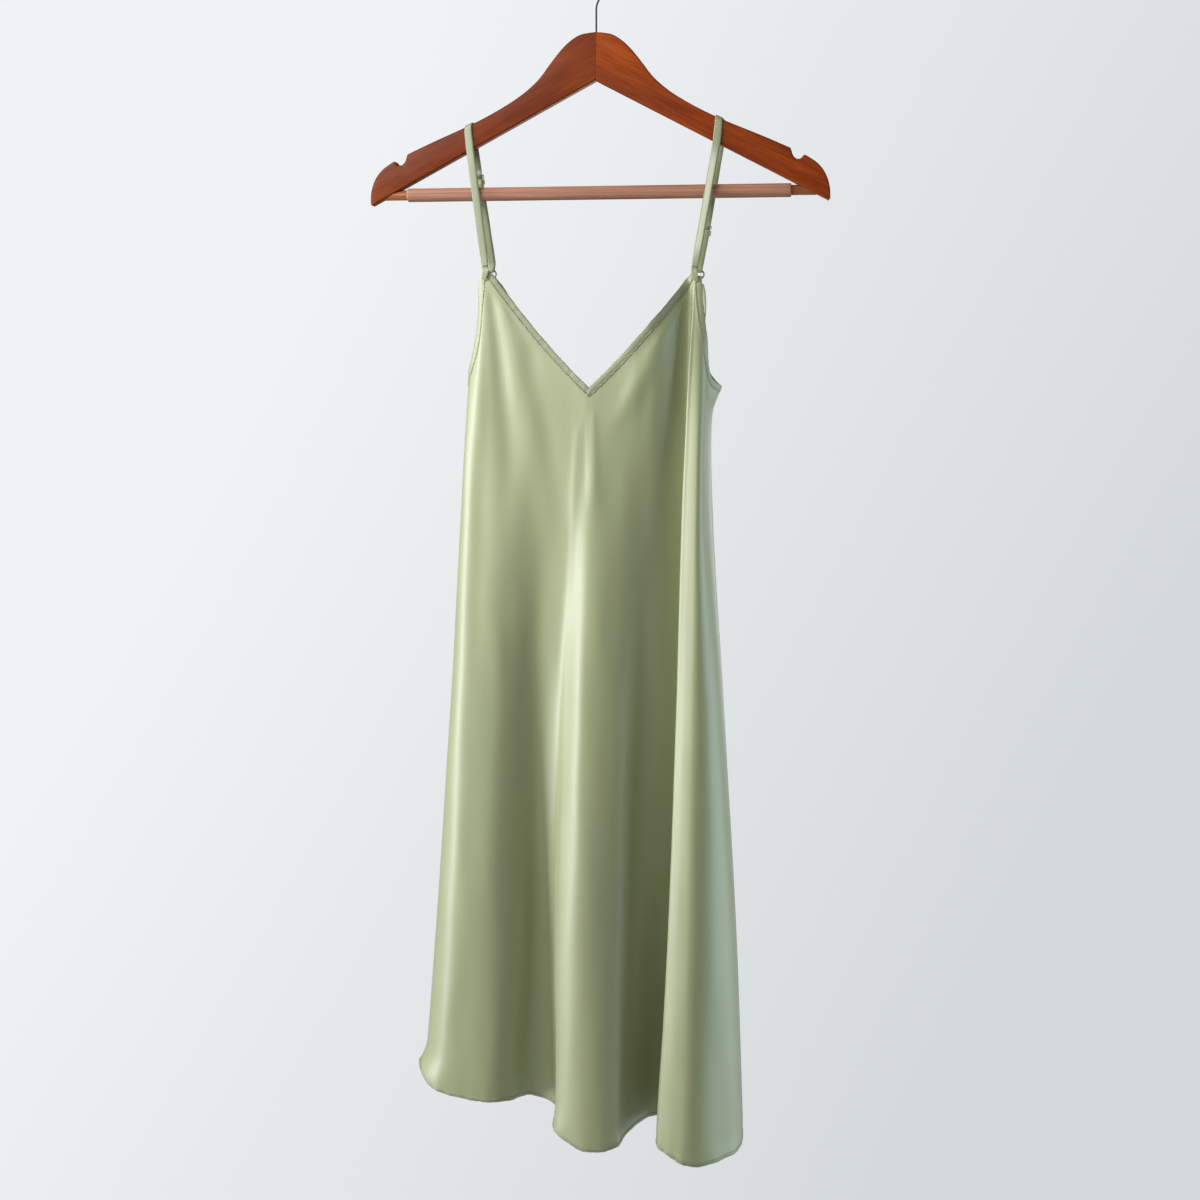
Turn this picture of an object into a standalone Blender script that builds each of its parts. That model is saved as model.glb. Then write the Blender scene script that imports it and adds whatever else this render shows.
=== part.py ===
"""Satin slip dress with adjustable straps, hanging on a flat wooden hanger.

Metres, +Z up, +X along the hanger, the dress front faces -Y. The origin is the
inner top of the hanger's hook, where a rail carries it. The cloth panels are
thin walls through plan sections: each section is a closed curve through the
fold lines of the dress, which fan out from the strap points down to the hem.
"""

import math

import bmesh
import bpy
import numpy as np
from mathutils import Matrix, Vector

MM = 0.001

# ---- Driving dimensions (millimetres unless the name says otherwise) --------
CLOTH = 1.2                  # wall of the satin panels
BINDING = 1.6                # folded binding, thicker than the panel it edges
BINDING_WIDTH = 6.0
SEAM_GAP = 0.3
FOLDED_SEAM_GAP = 0.5        # where a seam runs along a tight fold of the cloth
STRAP = 1.0
STRAP_WIDTH = 7.6
LOOP_WIDTH = 4.4             # strap gathered where it turns through its ring
APEX_CLEAR = 0.7             # a front strap end stands this much prouder than its seam gap
LOOP_HALF = 1.6              # from a loop's middle plane to the middle of a leg

RING_RADIUS = 3.9
RING_WIRE = 0.6
SLIDER_SIZE = (10.4, 10.0)
SLIDER_RIM = 1.2
SLIDER_BAR = 1.4
SLIDER_PLATE = 1.2
SLIDER_CORNER = 1.2
SLOT_CORNER = 0.4

ARM_THICK = 12.0
ARM_ROUND = 1.8
ARM_FALL = 0.511             # slope of the arms' straight undersides
WOOD_PEAK = -88.0            # height of the hanger's top, below the rail
CROTCH = -131.6              # height where the arms' undersides meet
ARM_TIP = (221.0, -244.5)
BAR_HEIGHT = -234.6
DOWEL_RADIUS = 4.8
DOWEL_HALF = 211.0
SLEEVE_INNER = 5.15
SLEEVE_OUTER = 6.4
SLEEVE_HALF = 186.0

HOOK_WIRE = 0.9
HOOK_INNER = 21.0            # inner radius of the hook
STEM_FOOT = -118.0

NECK_FRONT = dict(x=-3.8, z=-428.0, span=99.0, rise=111.0)
NECK_BACK = dict(x=-5.0, z=-455.0, span=103.0, rise=135.0)
NECK_STRAIGHT = 0.79         # share of the neckline's rise that is straight

# ---- Fold lines of the dress -------------------------------------------------
# Plan position (x, y) of each fold line at these heights, and its hem height.
# The rows go round the dress anticlockwise from the left side seam.
HEIGHTS = (-310.0, -425.0, -475.0, -735.0, -990.0, -1185.0)
FOLDS = (
    # name, strap height, underarm, bust, waist, hip, hem plan, hem height
    ("seam_left", (-118, 14), (-127, 15), (-130, 17), (-152, 26), (-176, 35), (-200, 44), -1160.0),
    ("edge_left", (-116, 2), (-129, 2), (-133, 3), (-153, 9), (-176, 14), (-203, 20), -1150.0),
    ("turn_a", (-112, -9), (-120, -13), (-124, -13), (-142, -13), (-157, -15), (-172, -17), -1164.0),
    ("apex_left", (-107, -14), (-106, -12.5), (-107, -13.5), (-120, -19), (-129, -23), (-131, -27), -1169.0),
    ("flank_a", (-76, -15), (-79, -15.5), (-80, -14.5), (-85, -12), (-90, -11), (-96, -16), -1170.0),
    ("valley_a", (-46, -17), (-48, -18), (-49, -16.5), (-58, 2), (-64, 12), (-72, 16), -1177.0),
    ("under_b", (-24, -20), (-27, -20.5), (-27, -19), (-37, -3), (-45, 4), (-45, 8), -1182.0),
    ("rise_b", (-13, -22), (-15, -22.5), (-15, -21.5), (-26, -17), (-34, -16), (-39, -22), -1190.0),
    ("crest_b", (-3, -24), (-3.8, -24), (-2, -24.5), (-6, -33), (-11, -42), (-12, -50), -1200.0),
    ("flank_b", (22, -22), (24, -24), (26, -24), (25, -29), (22, -36), (22, -46), -1198.0),
    ("turn_b", (42, -20.5), (45, -21.5), (47, -20.5), (49, -11), (44, -14), (38, -20), -1190.0),
    ("valley_b", (62, -16), (66, -15), (67, -13.5), (71, -3), (66, 3), (57, 6), -1189.0),
    ("turn_c", (86, -10), (87, -8), (87, -6), (91, 2), (88, 9), (78, 13), -1191.0),
    ("apex_right", (97.3, -14), (91.5, -17.5), (90, -19), (84.5, -24), (78, -31), (69, -38), -1197.0),
    ("crest_c", (102, -12), (103, -19), (103, -23), (105, -32), (105, -42), (104, -52), -1208.0),
    ("flank_c", (107, -4), (111, -6), (110, -8), (123, -20), (134, -27), (139, -34), -1210.0),
    ("seam_right", (112, 12), (120, 13), (113, 15), (128, 9), (145, 7), (154, 5), -1209.0),
    ("edge_right", (102, 29), (108, 30), (109, 33), (122, 38), (137, 42), (146, 44), -1197.0),
    ("back_right", (97, 34), (94, 46), (93, 48), (98, 60), (106, 72), (112, 84), -1188.0),
    ("hollow_r", (64, 37), (60, 42), (60, 43), (64, 44), (67, 46), (70, 48), -1190.0),
    ("crest_mid", (30, 39), (28, 46), (28, 48), (26, 62), (25, 76), (24, 88), -1184.0),
    ("hollow_mid", (-5, 40), (-5, 45), (-6, 46), (-14, 48), (-20, 50), (-24, 52), -1182.0),
    ("crest_left", (-50, 39), (-54, 46), (-56, 48), (-63, 60), (-70, 74), (-74, 84), -1172.0),
    ("hollow_l", (-80, 37), (-83, 43), (-85, 44), (-99, 46), (-108, 50), (-116, 55), -1171.0),
    ("back_left", (-109.6, 34), (-107.5, 46), (-108, 48), (-128, 59), (-146, 70), (-162, 80), -1170.0),
    ("edge_back", (-116, 28), (-121, 34), (-124, 36), (-147, 45), (-169, 54), (-190, 64), -1166.0),
)
CORNERS = dict(              # heights of the seams and strap points at the top edge
    seam_left=-424.0, apex_left=-311.4, apex_right=-313.9,
    seam_right=-424.0, back_right=-320.0, back_left=-320.0)
ARMHOLE_CURVE = 2.1          # power of the armhole's rise from the side seam
FRONT_STEPS = 3              # mesh columns from one fold line to the next
BACK_STEPS = 4
ROWS = 19


# ---- Collections and materials -----------------------------------------------
def clear_scene():
    for obj in list(bpy.data.objects):
        bpy.data.objects.remove(obj, do_unlink=True)


def make_collection(name):
    group = bpy.data.collections.new(name)
    bpy.context.scene.collection.children.link(group)
    return group


def material(name, color, roughness, metallic=0.0):
    mat = bpy.data.materials.new(name)
    mat.use_nodes = True
    shader = mat.node_tree.nodes["Principled BSDF"]
    shader.inputs["Base Color"].default_value = (*color, 1.0)
    shader.inputs["Roughness"].default_value = roughness
    shader.inputs["Metallic"].default_value = metallic
    return mat


# ---- Curves through fold lines --------------------------------------------------
def spline(knots, values, at):
    """Smooth curve through values at rising knots (non-uniform Catmull-Rom)."""
    knots = np.asarray(knots, float)
    values = np.asarray(values, float)
    slopes = np.gradient(values, knots, axis=0)
    i = int(np.clip(np.searchsorted(knots, at) - 1, 0, len(knots) - 2))
    span = knots[i + 1] - knots[i]
    t = np.clip((at - knots[i]) / span, 0.0, 1.0)
    rise = 3 * t**2 - 2 * t**3
    return (values[i] * (1 - rise) + values[i + 1] * rise
            + span * slopes[i] * (t - 2 * t**2 + t**3)
            + span * slopes[i + 1] * (t**3 - t**2))


class Dress:
    """The dress's middle surface, by fold place u (turns round it) and height z."""

    def __init__(self, folds=FOLDS, heights=HEIGHTS):
        self.names = [row[0] for row in folds]
        self.plan = np.array([row[1:7] for row in folds], float)
        self.hems = np.array([row[7] for row in folds])
        self.levels = self.plan.swapaxes(0, 1)
        self.depths = -np.array(heights)
        spread = self.plan[:, 3:6].mean(axis=1)
        steps = np.linalg.norm(np.roll(spread, -1, axis=0) - spread, axis=1)
        self.around = float(steps.sum())
        self.places = np.concatenate([[0.0], np.cumsum(steps)]) / self.around
        self.known_tops = {}

    def place(self, name):
        return float(self.places[self.names.index(name)])

    def lap(self, values):
        """Values of the fold rows, repeated for three laps, with their places."""
        turn = self.places[:-1]
        return np.concatenate([turn - 1, turn, turn + 1]), np.concatenate([values] * 3)

    def plan_at(self, u, z):
        return spline(*self.lap(spline(self.depths, self.levels, -z)), u)

    def hem(self, u):
        return float(spline(*self.lap(self.hems), u))

    def neck(self, u, cut):
        """Height where a neckline crosses the fold line at u."""
        z = cut["z"]
        for _ in range(12):
            share = abs(self.plan_at(u, z)[0] - cut["x"]) / cut["span"]
            z = cut["z"] + cut["rise"] * (NECK_STRAIGHT * share + (1 - NECK_STRAIGHT) * share**2)
        return z

    def armhole(self, u, seam, strap_point):
        """Height of an armhole's edge, curving up from its side seam."""
        low, high = self.place(seam), self.place(strap_point)
        if high - low > 0.5:
            low += 1.0           # the left seam opens the turn and closes it
        share = (u - low) / (high - low)
        rise = CORNERS[strap_point] - CORNERS[seam]
        return CORNERS[seam] + rise * share**ARMHOLE_CURVE

    def top(self, u):
        """Height of the cloth's upper edge at u."""
        u = u % 1.0
        if u not in self.known_tops:
            self.known_tops[u] = self.find_top(u)
        return self.known_tops[u]

    def find_top(self, u):
        if u <= self.place("apex_left"):
            return self.armhole(u, "seam_left", "apex_left")
        if u < self.place("apex_right"):
            return self.neck(u, NECK_FRONT)
        if u <= self.place("seam_right"):
            return self.armhole(u, "seam_right", "apex_right")
        if u <= self.place("back_right"):
            return self.armhole(u, "seam_right", "back_right")
        if u < self.place("back_left"):
            return self.neck(u, NECK_BACK)
        return self.armhole(u, "seam_left", "back_left")

    def point(self, u, z):
        x, y = self.plan_at(u, z)
        return np.array((x, y, z))

    def normal(self, u, z):
        along = self.point(u + 0.001, z) - self.point(u - 0.001, z)
        down = self.point(u, z - 2.0) - self.point(u, z + 2.0)
        out = np.cross(down, along)
        return out / np.linalg.norm(out)


def fold_places(dress, first, last):
    """Places from one fold line round to another, with equal steps between folds."""
    count = len(dress.names)
    start, stop = dress.names.index(first), dress.names.index(last)
    if stop < start:
        stop += count
    lines = [float(dress.places[i % count]) + i // count for i in range(start, stop + 1)]
    back_from = dress.place("seam_right")
    out = []
    for low, high in zip(lines, lines[1:]):
        steps = FRONT_STEPS if low % 1.0 < back_from else BACK_STEPS
        out += list(np.linspace(low, high, steps, endpoint=False))
    return out + [lines[-1]]


# ---- Meshes ------------------------------------------------------------------
def grid_object(name, rows, group, mat, thickness):
    """Open surface through rows of points, given its wall by Solidify."""
    mesh = bpy.data.meshes.new(name)
    bm = bmesh.new()
    verts = [[bm.verts.new(Vector(p) * MM) for p in row] for row in rows]
    for upper, lower in zip(verts, verts[1:]):
        for a, b, c, d in zip(upper, lower, lower[1:], upper[1:]):
            bm.faces.new((a, b, c, d))
    bm.to_mesh(mesh)
    bm.free()
    mesh.shade_smooth()
    obj = bpy.data.objects.new(name, mesh)
    group.objects.link(obj)
    mesh.materials.append(mat)
    wall = obj.modifiers.new("Wall", "SOLIDIFY")
    wall.thickness = thickness * MM
    wall.offset = 0.0
    wall.use_even_offset = True
    return obj


def panel(name, dress, places, group, mat):
    """One cut piece from its neck and armhole edges down to the hem."""
    rows = []
    inset = 0.5 * FOLDED_SEAM_GAP
    for step in range(ROWS + 1):
        share = (step / ROWS) ** 1.1
        row = []
        for u in places:
            top = dress.top(u)
            z = top + (dress.hem(u) - top) * share
            row.append(dress.point(u, z))
        for edge, inner in ((0, 1), (-1, -2)):
            pull = row[inner] - row[edge]
            row[edge] = row[edge] + pull * inset / np.linalg.norm(pull)
        rows.append(row)
    return grid_object(name, rows, group, mat, CLOTH)


def binding(name, dress, places, gap, group, mat):
    """Folded strip that caps a panel edge, standing up from it in the cloth's plane."""
    edge = [dress.point(u, dress.top(u)) for u in places]
    ups = []
    for u, v, a, b in zip(places, places[1:], edge, edge[1:]):
        high, low = (u, b) if a[2] > b[2] else (v, a)
        out = low - dress.point(high, low[2] - 3.0)
        run = (b - a) / np.linalg.norm(b - a)
        up = out - run * (out @ run)
        ups.append(up / np.linalg.norm(up))
    mitred = []
    for i in range(len(edge)):
        before, after = ups[max(i - 1, 0)], ups[min(i, len(ups) - 1)]
        mitred.append((before + after) / (1.0 + float(before @ after)))
    rows = []
    for share in (0.0, 0.5, 1.0):
        rows.append([p + w * (gap + share * BINDING_WIDTH) for p, w in zip(edge, mitred)])
    rows.reverse()
    return grid_object(name, rows, group, mat, BINDING)


def ribbon(name, stations, group, mat, thickness=STRAP):
    """Flat strap through stations of (middle point, outward normal, width, lean)."""
    left, right = [], []
    points = [np.array(s[0], float) for s in stations]
    for i, (_, normal, width, lean) in enumerate(stations):
        run = points[min(i + 1, len(points) - 1)] - points[max(i - 1, 0)]
        across = np.cross(np.array(normal, float), run)
        across /= np.linalg.norm(across)
        if across[0] < 0:
            across = -across
        across = across + np.array((0.0, 0.0, lean))
        across /= np.linalg.norm(across)
        left.append(points[i] - across * 0.5 * width)
        right.append(points[i] + across * 0.5 * width)
    return grid_object(name, [left, right], group, mat, thickness)


def curve_object(name, paths, group, closed=False, flat=False):
    data = bpy.data.curves.new(name, "CURVE")
    data.dimensions = "2D" if flat else "3D"
    for path in paths:
        line = data.splines.new("POLY")
        line.points.add(len(path) - 1)
        for point, co in zip(line.points, path):
            point.co = (*(Vector(co) * MM), 1.0)
        line.use_cyclic_u = closed
    if flat:
        data.fill_mode = "BOTH"
    else:
        data.use_fill_caps = True
    obj = bpy.data.objects.new(name, data)
    group.objects.link(obj)
    return obj


def to_mesh(curve, mat):
    """Replace a curve object by its welded mesh, ready for Booleans."""
    name = curve.name
    bpy.context.view_layer.update()
    matrix = curve.matrix_world.copy()
    groups = list(curve.users_collection)
    graph = bpy.context.evaluated_depsgraph_get()
    mesh = bpy.data.meshes.new_from_object(curve.evaluated_get(graph))
    bpy.data.objects.remove(curve, do_unlink=True)
    bm = bmesh.new()
    bm.from_mesh(mesh)
    bmesh.ops.remove_doubles(bm, verts=bm.verts, dist=0.01 * MM)
    bmesh.ops.recalc_face_normals(bm, faces=bm.faces)
    bm.to_mesh(mesh)
    bm.free()
    obj = bpy.data.objects.new(name, mesh)
    obj.matrix_world = matrix
    for group in groups:
        group.objects.link(obj)
    finish_round(obj, mat)
    return obj


def rod_between(name, x_low, x_high, radius, z, group, sides=32):
    """Cylinder lying along X."""
    bpy.ops.mesh.primitive_cylinder_add(
        vertices=sides, radius=radius * MM, depth=(x_high - x_low) * MM,
        location=(0.5 * (x_low + x_high) * MM, 0.0, z * MM), rotation=(0.0, math.pi / 2, 0.0))
    obj = bpy.context.object
    obj.name = name
    move_to(obj, group)
    return obj


def finish_round(obj, mat):
    """Material, and smooth shading up to the sharp end rims."""
    obj.data.materials.clear()
    obj.data.materials.append(mat)
    obj.data.shade_smooth()
    obj.data.set_sharp_from_angle(angle=math.radians(35))


def move_to(obj, group):
    for old in list(obj.users_collection):
        old.objects.unlink(obj)
    group.objects.link(obj)


def cut(obj, cutter, operation="DIFFERENCE"):
    mod = obj.modifiers.new("Cut " + cutter.name, "BOOLEAN")
    mod.operation = operation
    mod.object = cutter
    mod.solver = "EXACT"


def hide(cutter):
    cutter.hide_render = True
    cutter.display_type = "WIRE"


# ---- Hanger ---------------------------------------------------------------------
SHOULDER = (
    # x, z along the upper edge, from the peak to the notch
    (0.0, WOOD_PEAK), (9.0, -88.9), (15.0, -90.2), (21.0, -93.2), (27.0, -97.6), (33.0, -103.2),
    (39.0, -110.0), (45.5, -118.0), (53.0, -127.6), (62.0, -136.2), (72.0, -143.8),
    (86.0, -152.4), (103.0, -161.4), (122.0, -170.2), (140.0, -177.6), (162.0, -186.6),
    (184.6, -196.4))
NOTCH = ((185.6, -199.0), (187.2, -203.4), (190.6, -206.4), (194.2, -206.2), (197.4, -203.0))
TIP = (
    (202.6, -205.4), (208.4, -209.2), (213.4, -213.9), (217.4, -219.6), (220.2, -225.8),
    (222.0, -232.6), (222.6, -239.0), (222.2, -243.4), ARM_TIP)


def arm_top(x):
    """Height of the arms' upper edge at x."""
    xs, zs = zip(*SHOULDER)
    return float(np.interp(abs(x), xs, zs))


def mirrored(outline):
    """Closed outline from a right half whose first and last points are on x = 0."""
    return list(outline) + [(-x, z) for x, z in reversed(outline[1:-1])]


def build_hanger(parts, cutters, mats):
    half_outline = SHOULDER + NOTCH + TIP + ((0.0, CROTCH),)
    outline = [(x, z, 0.0) for x, z in mirrored(half_outline)]
    socket_end = DOWEL_HALF + 3.5
    sockets = rod_between(
        "socket_cut", -socket_end, socket_end, DOWEL_RADIUS + SEAM_GAP, BAR_HEIGHT, cutters)
    hole_depth = 60.0
    bpy.ops.mesh.primitive_cylinder_add(
        vertices=16, radius=(HOOK_WIRE + SEAM_GAP) * MM, depth=hole_depth * MM,
        location=(0.0, 0.0, (STEM_FOOT - 1.0 + 0.5 * hole_depth) * MM))
    stem_hole = bpy.context.object
    stem_hole.name = "stem_hole_cut"
    move_to(stem_hole, cutters)
    for side, label in ((-1, "left"), (1, "right")):
        curve = curve_object(f"hanger_arm_{label}", [outline], parts, closed=True, flat=True)
        curve.data.extrude = (0.5 * ARM_THICK - ARM_ROUND) * MM
        curve.data.bevel_depth = ARM_ROUND * MM
        curve.data.offset = -ARM_ROUND * MM
        curve.data.bevel_resolution = 2
        curve.rotation_euler = (math.pi / 2, 0.0, 0.0)
        arm = to_mesh(curve, mats["wood"])
        wide, deep, tall = 300.0, 40.0, 200.0
        bpy.ops.mesh.primitive_cube_add(
            size=1.0, location=(-side * 0.5 * (wide - SEAM_GAP) * MM, 0.0, -0.17))
        other_half = bpy.context.object
        other_half.name = f"mitre_cut_{label}"
        other_half.scale = (wide * MM, deep * MM, tall * MM)
        move_to(other_half, cutters)
        for cutter in (other_half, sockets, stem_hole):
            cut(arm, cutter)
            hide(cutter)
    bar = rod_between("trouser_bar", -DOWEL_HALF, DOWEL_HALF, DOWEL_RADIUS, BAR_HEIGHT, parts)
    finish_round(bar, mats["dowel"])
    sleeve = rod_between("bar_sleeve", -SLEEVE_HALF, SLEEVE_HALF, SLEEVE_OUTER, BAR_HEIGHT, parts)
    bore_end = SLEEVE_HALF + 5.0
    bore = rod_between("sleeve_bore", -bore_end, bore_end, SLEEVE_INNER, BAR_HEIGHT, cutters)
    cut(sleeve, bore)
    hide(bore)
    finish_round(sleeve, mats["sleeve"])


def hook_path():
    """Stem up from the wood, swinging out into a round hook about the rail."""
    radius = HOOK_INNER + HOOK_WIRE
    centre = (0.0, -HOOK_INNER)
    path = [(0.0, STEM_FOOT), (0.0, -100.0), (0.0, -80.0), (0.0, -66.0)]
    start = math.radians(-52.0)
    join = (radius * math.cos(start), centre[1] + radius * math.sin(start))
    for k in range(1, 8):
        t = k / 8
        ease = t * t * (3 - 2 * t)
        path.append((join[0] * ease, -66.0 + (join[1] + 66.0) * t))
    for k in range(25):
        angle = start + math.radians(252.0) * k / 24
        path.append((radius * math.cos(angle), centre[1] + radius * math.sin(angle)))
    last = path[-1]
    path += [(last[0] - 0.4, last[1] - 5.0), (last[0] - 2.4, last[1] - 9.0)]
    return [(x, 0.0, z) for x, z in path]


def build_hook(parts, mats):
    curve = curve_object("hook", [hook_path()], parts)
    curve.data.bevel_depth = HOOK_WIRE * MM
    curve.data.bevel_resolution = 2
    return to_mesh(curve, mats["hook"])


# ---- Straps, rings and sliders ----------------------------------------------------
STRAPS = (
    # front end (x, z), x on the arm's front and back, centre of the back ring,
    # slider's share of the way down
    dict(name="left", side=-1, apex=(-107.6, -311.4), arm=-123.6, behind=-121.4,
         ring=(-110.2, 34.0, -309.0), slider=0.25),
    dict(name="right", side=1, apex=(96.2, -313.9), arm=117.0, behind=119.2,
         ring=(98.0, 34.0, -310.5), slider=0.70),
)


def strap_stations(strap, dress):
    """Middle points, outward normals, widths and leans of one whole strap."""
    lift = 0.5 * STRAP + SEAM_GAP
    side = strap["side"]
    apex_x, apex_z = strap["apex"]
    u_apex = dress.place(f"apex_{strap['name']}")
    apex_y = dress.point(u_apex, apex_z)[1] - 0.5 * BINDING - lift - APEX_CLEAR
    x = strap["arm"]
    behind = strap["behind"]
    top = arm_top(x)
    slope = (arm_top(x + 4) - arm_top(x - 4)) / 8
    face = 0.5 * ARM_THICK + lift
    foot = CROTCH - ARM_FALL * abs(x) + 1.0
    front, up, back = (0, -1, 0), (0, 0, 1), (0, 1, 0)
    out = [((apex_x, apex_y, apex_z - 1.0), front, STRAP_WIDTH - 1.2, 0.0),
           ((apex_x + side * 0.9, apex_y + 0.1, apex_z + 8.0), front, STRAP_WIDTH - 0.8, 0.0)]
    knee = np.array((x - side * 1.6, -face, foot))
    start = np.array(out[-1][0])
    for k in range(1, 6):
        spot = start + (knee - start) * k / 6
        out.append((tuple(spot), front, STRAP_WIDTH, 0.0))
    out.append((tuple(knee), front, STRAP_WIDTH, 0.0))
    out.append(((x, -face, top - 6.0), front, STRAP_WIDTH, 0.5 * slope))
    bend = ARM_ROUND + lift
    for k in range(5):
        a = math.radians(22.5 * k)
        spot_x = x + (behind - x) * 0.08 * k
        y = -(0.5 * ARM_THICK - ARM_ROUND) - bend * math.cos(a)
        z = arm_top(spot_x) - ARM_ROUND + bend * math.sin(a) + 0.25
        out.append(((spot_x, y, z), (0, -math.cos(a), math.sin(a)), STRAP_WIDTH, slope))
    for k in range(5):
        a = math.radians(90 - 22.5 * k)
        spot_x = x + (behind - x) * (0.68 + 0.08 * k)
        y = 0.5 * ARM_THICK - ARM_ROUND + bend * math.cos(a)
        z = arm_top(spot_x) - ARM_ROUND + bend * math.sin(a) + 0.25
        out.append(((spot_x, y, z), (0, math.cos(a), math.sin(a)), STRAP_WIDTH, slope))
    out.append(((behind, face, arm_top(behind) - 6.0), back, STRAP_WIDTH, 0.5 * slope))
    knee = np.array((behind - side * 1.2, face, CROTCH - ARM_FALL * abs(behind) + 1.0))
    out.append((tuple(knee), back, STRAP_WIDTH, 0.0))

    ring = np.array(strap["ring"])
    turn_z = ring[2] + RING_RADIUS - 0.5
    leg = np.array((ring[0], ring[1] + LOOP_HALF, turn_z + 5.0))
    run = leg - knee
    length = np.linalg.norm(run)
    down = run / length
    outward = np.cross(down, (1.0, 0.0, 0.0))
    outward /= np.linalg.norm(outward)
    if outward[1] < 0:
        outward = -outward
    slider = knee + run * strap["slider"]
    weave = 0.5 * SLIDER_PLATE + SEAM_GAP + 0.5 * STRAP + 0.05
    rail = 0.5 * (SLIDER_SIZE[1] - SLIDER_RIM)
    back_n = tuple(outward)
    if strap["slider"] > 0.5:
        out.append((tuple(knee + run * 0.35), back_n, STRAP_WIDTH, 0.0))
    for along, off in ((-rail - 4.5, 0.0), (-rail - 0.9, -weave), (-rail + 0.9, -weave),
                       (-0.8, weave), (0.8, weave), (rail - 0.9, -weave), (rail + 0.9, -weave),
                       (rail + 5.0, 0.0)):
        spot = slider + down * along + outward * off
        out.append((tuple(spot), back_n, STRAP_WIDTH, 0.0))
    if strap["slider"] < 0.5:
        out.append((tuple(slider + (leg - slider) * 0.55), back_n, STRAP_WIDTH, 0.0))
    out.append((tuple(leg), back_n, LOOP_WIDTH + 1.2, 0.0))
    for k in range(7):
        a = math.radians(30 * k)
        spot = ring + np.array((0.0, LOOP_HALF * math.cos(a), RING_RADIUS - 0.5 - LOOP_HALF * math.sin(a)))
        out.append((tuple(spot), (0, math.cos(a), -math.sin(a)), LOOP_WIDTH, 0.0))
    inner = leg - np.array((0.0, 2 * LOOP_HALF, 0.0))
    out.append((tuple(inner), (0, -1, 0), LOOP_WIDTH + 1.2, 0.0))
    fall = -outward * (weave + STRAP + 0.6)
    out.append((tuple(slider + down * (rail + 6.0) + fall), tuple(-outward), STRAP_WIDTH - 0.4, 0.0))
    out.append((tuple(slider + down * (rail - 0.9) + fall), tuple(-outward), STRAP_WIDTH - 0.4, 0.0))
    end = -outward * (weave + 0.1)
    out.append((tuple(slider + down * 0.9 + end), tuple(-outward), STRAP_WIDTH - 0.4, 0.0))
    out.append((tuple(slider - down * 0.7 + end), tuple(-outward), STRAP_WIDTH - 0.4, 0.0))
    return out, slider, down, outward


def rounded(x_low, x_high, y_low, y_high, radius):
    """Rectangle with round corners, as a closed path."""
    path = []
    corners = ((x_high - radius, y_high - radius), (x_low + radius, y_high - radius),
               (x_low + radius, y_low + radius), (x_high - radius, y_low + radius))
    for quarter, (x, y) in enumerate(corners):
        for eighth in range(3):
            angle = math.radians(90 * quarter + 45 * eighth)
            path.append((x + radius * math.cos(angle), y + radius * math.sin(angle), 0.0))
    return path


def build_slider(name, centre, down, outward, parts, mat):
    """Figure-eight plate with two slots, lying flat along the strap."""
    wide, tall = SLIDER_SIZE
    slot_wide = 0.5 * wide - SLIDER_RIM
    slot_low, slot_high = 0.5 * SLIDER_BAR, 0.5 * tall - SLIDER_RIM
    paths = [rounded(-wide / 2, wide / 2, -tall / 2, tall / 2, SLIDER_CORNER),
             rounded(-slot_wide, slot_wide, slot_low, slot_high, SLOT_CORNER),
             rounded(-slot_wide, slot_wide, -slot_high, -slot_low, SLOT_CORNER)]
    curve = curve_object(name, paths, parts, closed=True, flat=True)
    curve.data.extrude = 0.5 * SLIDER_PLATE * MM
    up = Vector(-down)
    out = Vector(outward)
    across = up.cross(out).normalized()
    basis = Matrix((across, up, out)).transposed()
    curve.matrix_world = Matrix.Translation(Vector(centre) * MM) @ basis.to_4x4()
    return to_mesh(curve, mat)


def build_straps(parts, mats, dress):
    for strap in STRAPS:
        label = strap["name"]
        stations, slider, down, outward = strap_stations(strap, dress)
        ribbon(f"strap_{label}", stations, parts, mats["binding"])
        build_slider(f"slider_{label}", slider, down, outward, parts, mats["metal"])
        ring = strap["ring"]
        bpy.ops.mesh.primitive_torus_add(
            major_segments=28, minor_segments=8, major_radius=RING_RADIUS * MM,
            minor_radius=RING_WIRE * MM, location=Vector(ring) * MM, rotation=(math.pi / 2, 0, 0))
        obj = bpy.context.object
        obj.name = f"ring_{label}"
        obj.data.materials.append(mats["metal"])
        obj.data.shade_smooth()
        move_to(obj, parts)

        u = dress.place(f"back_{label}")
        top = dress.top(u)
        reach = 0.5 * BINDING + SEAM_GAP + 0.5 * STRAP
        seat = dress.point(u, top + 1.0)
        tab = []
        foot = seat + np.array((0.0, reach + 0.6, 0.0))
        tab.append((tuple(foot), (0, 1, 0), LOOP_WIDTH + 0.8, 0.0))
        for k in range(7):
            a = math.radians(30 * k)
            spot = (ring[0], ring[1] + LOOP_HALF * math.cos(a),
                    ring[2] - RING_RADIUS + 0.5 + LOOP_HALF * math.sin(a))
            tab.append((spot, (0, math.cos(a), math.sin(a)), LOOP_WIDTH, 0.0))
        foot = seat - np.array((0.0, reach + 0.9, 0.0))
        tab.append((tuple(foot), (0, -1, 0), LOOP_WIDTH + 0.8, 0.0))
        ribbon(f"ring_tab_{label}", tab, parts, mats["binding"])


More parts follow.
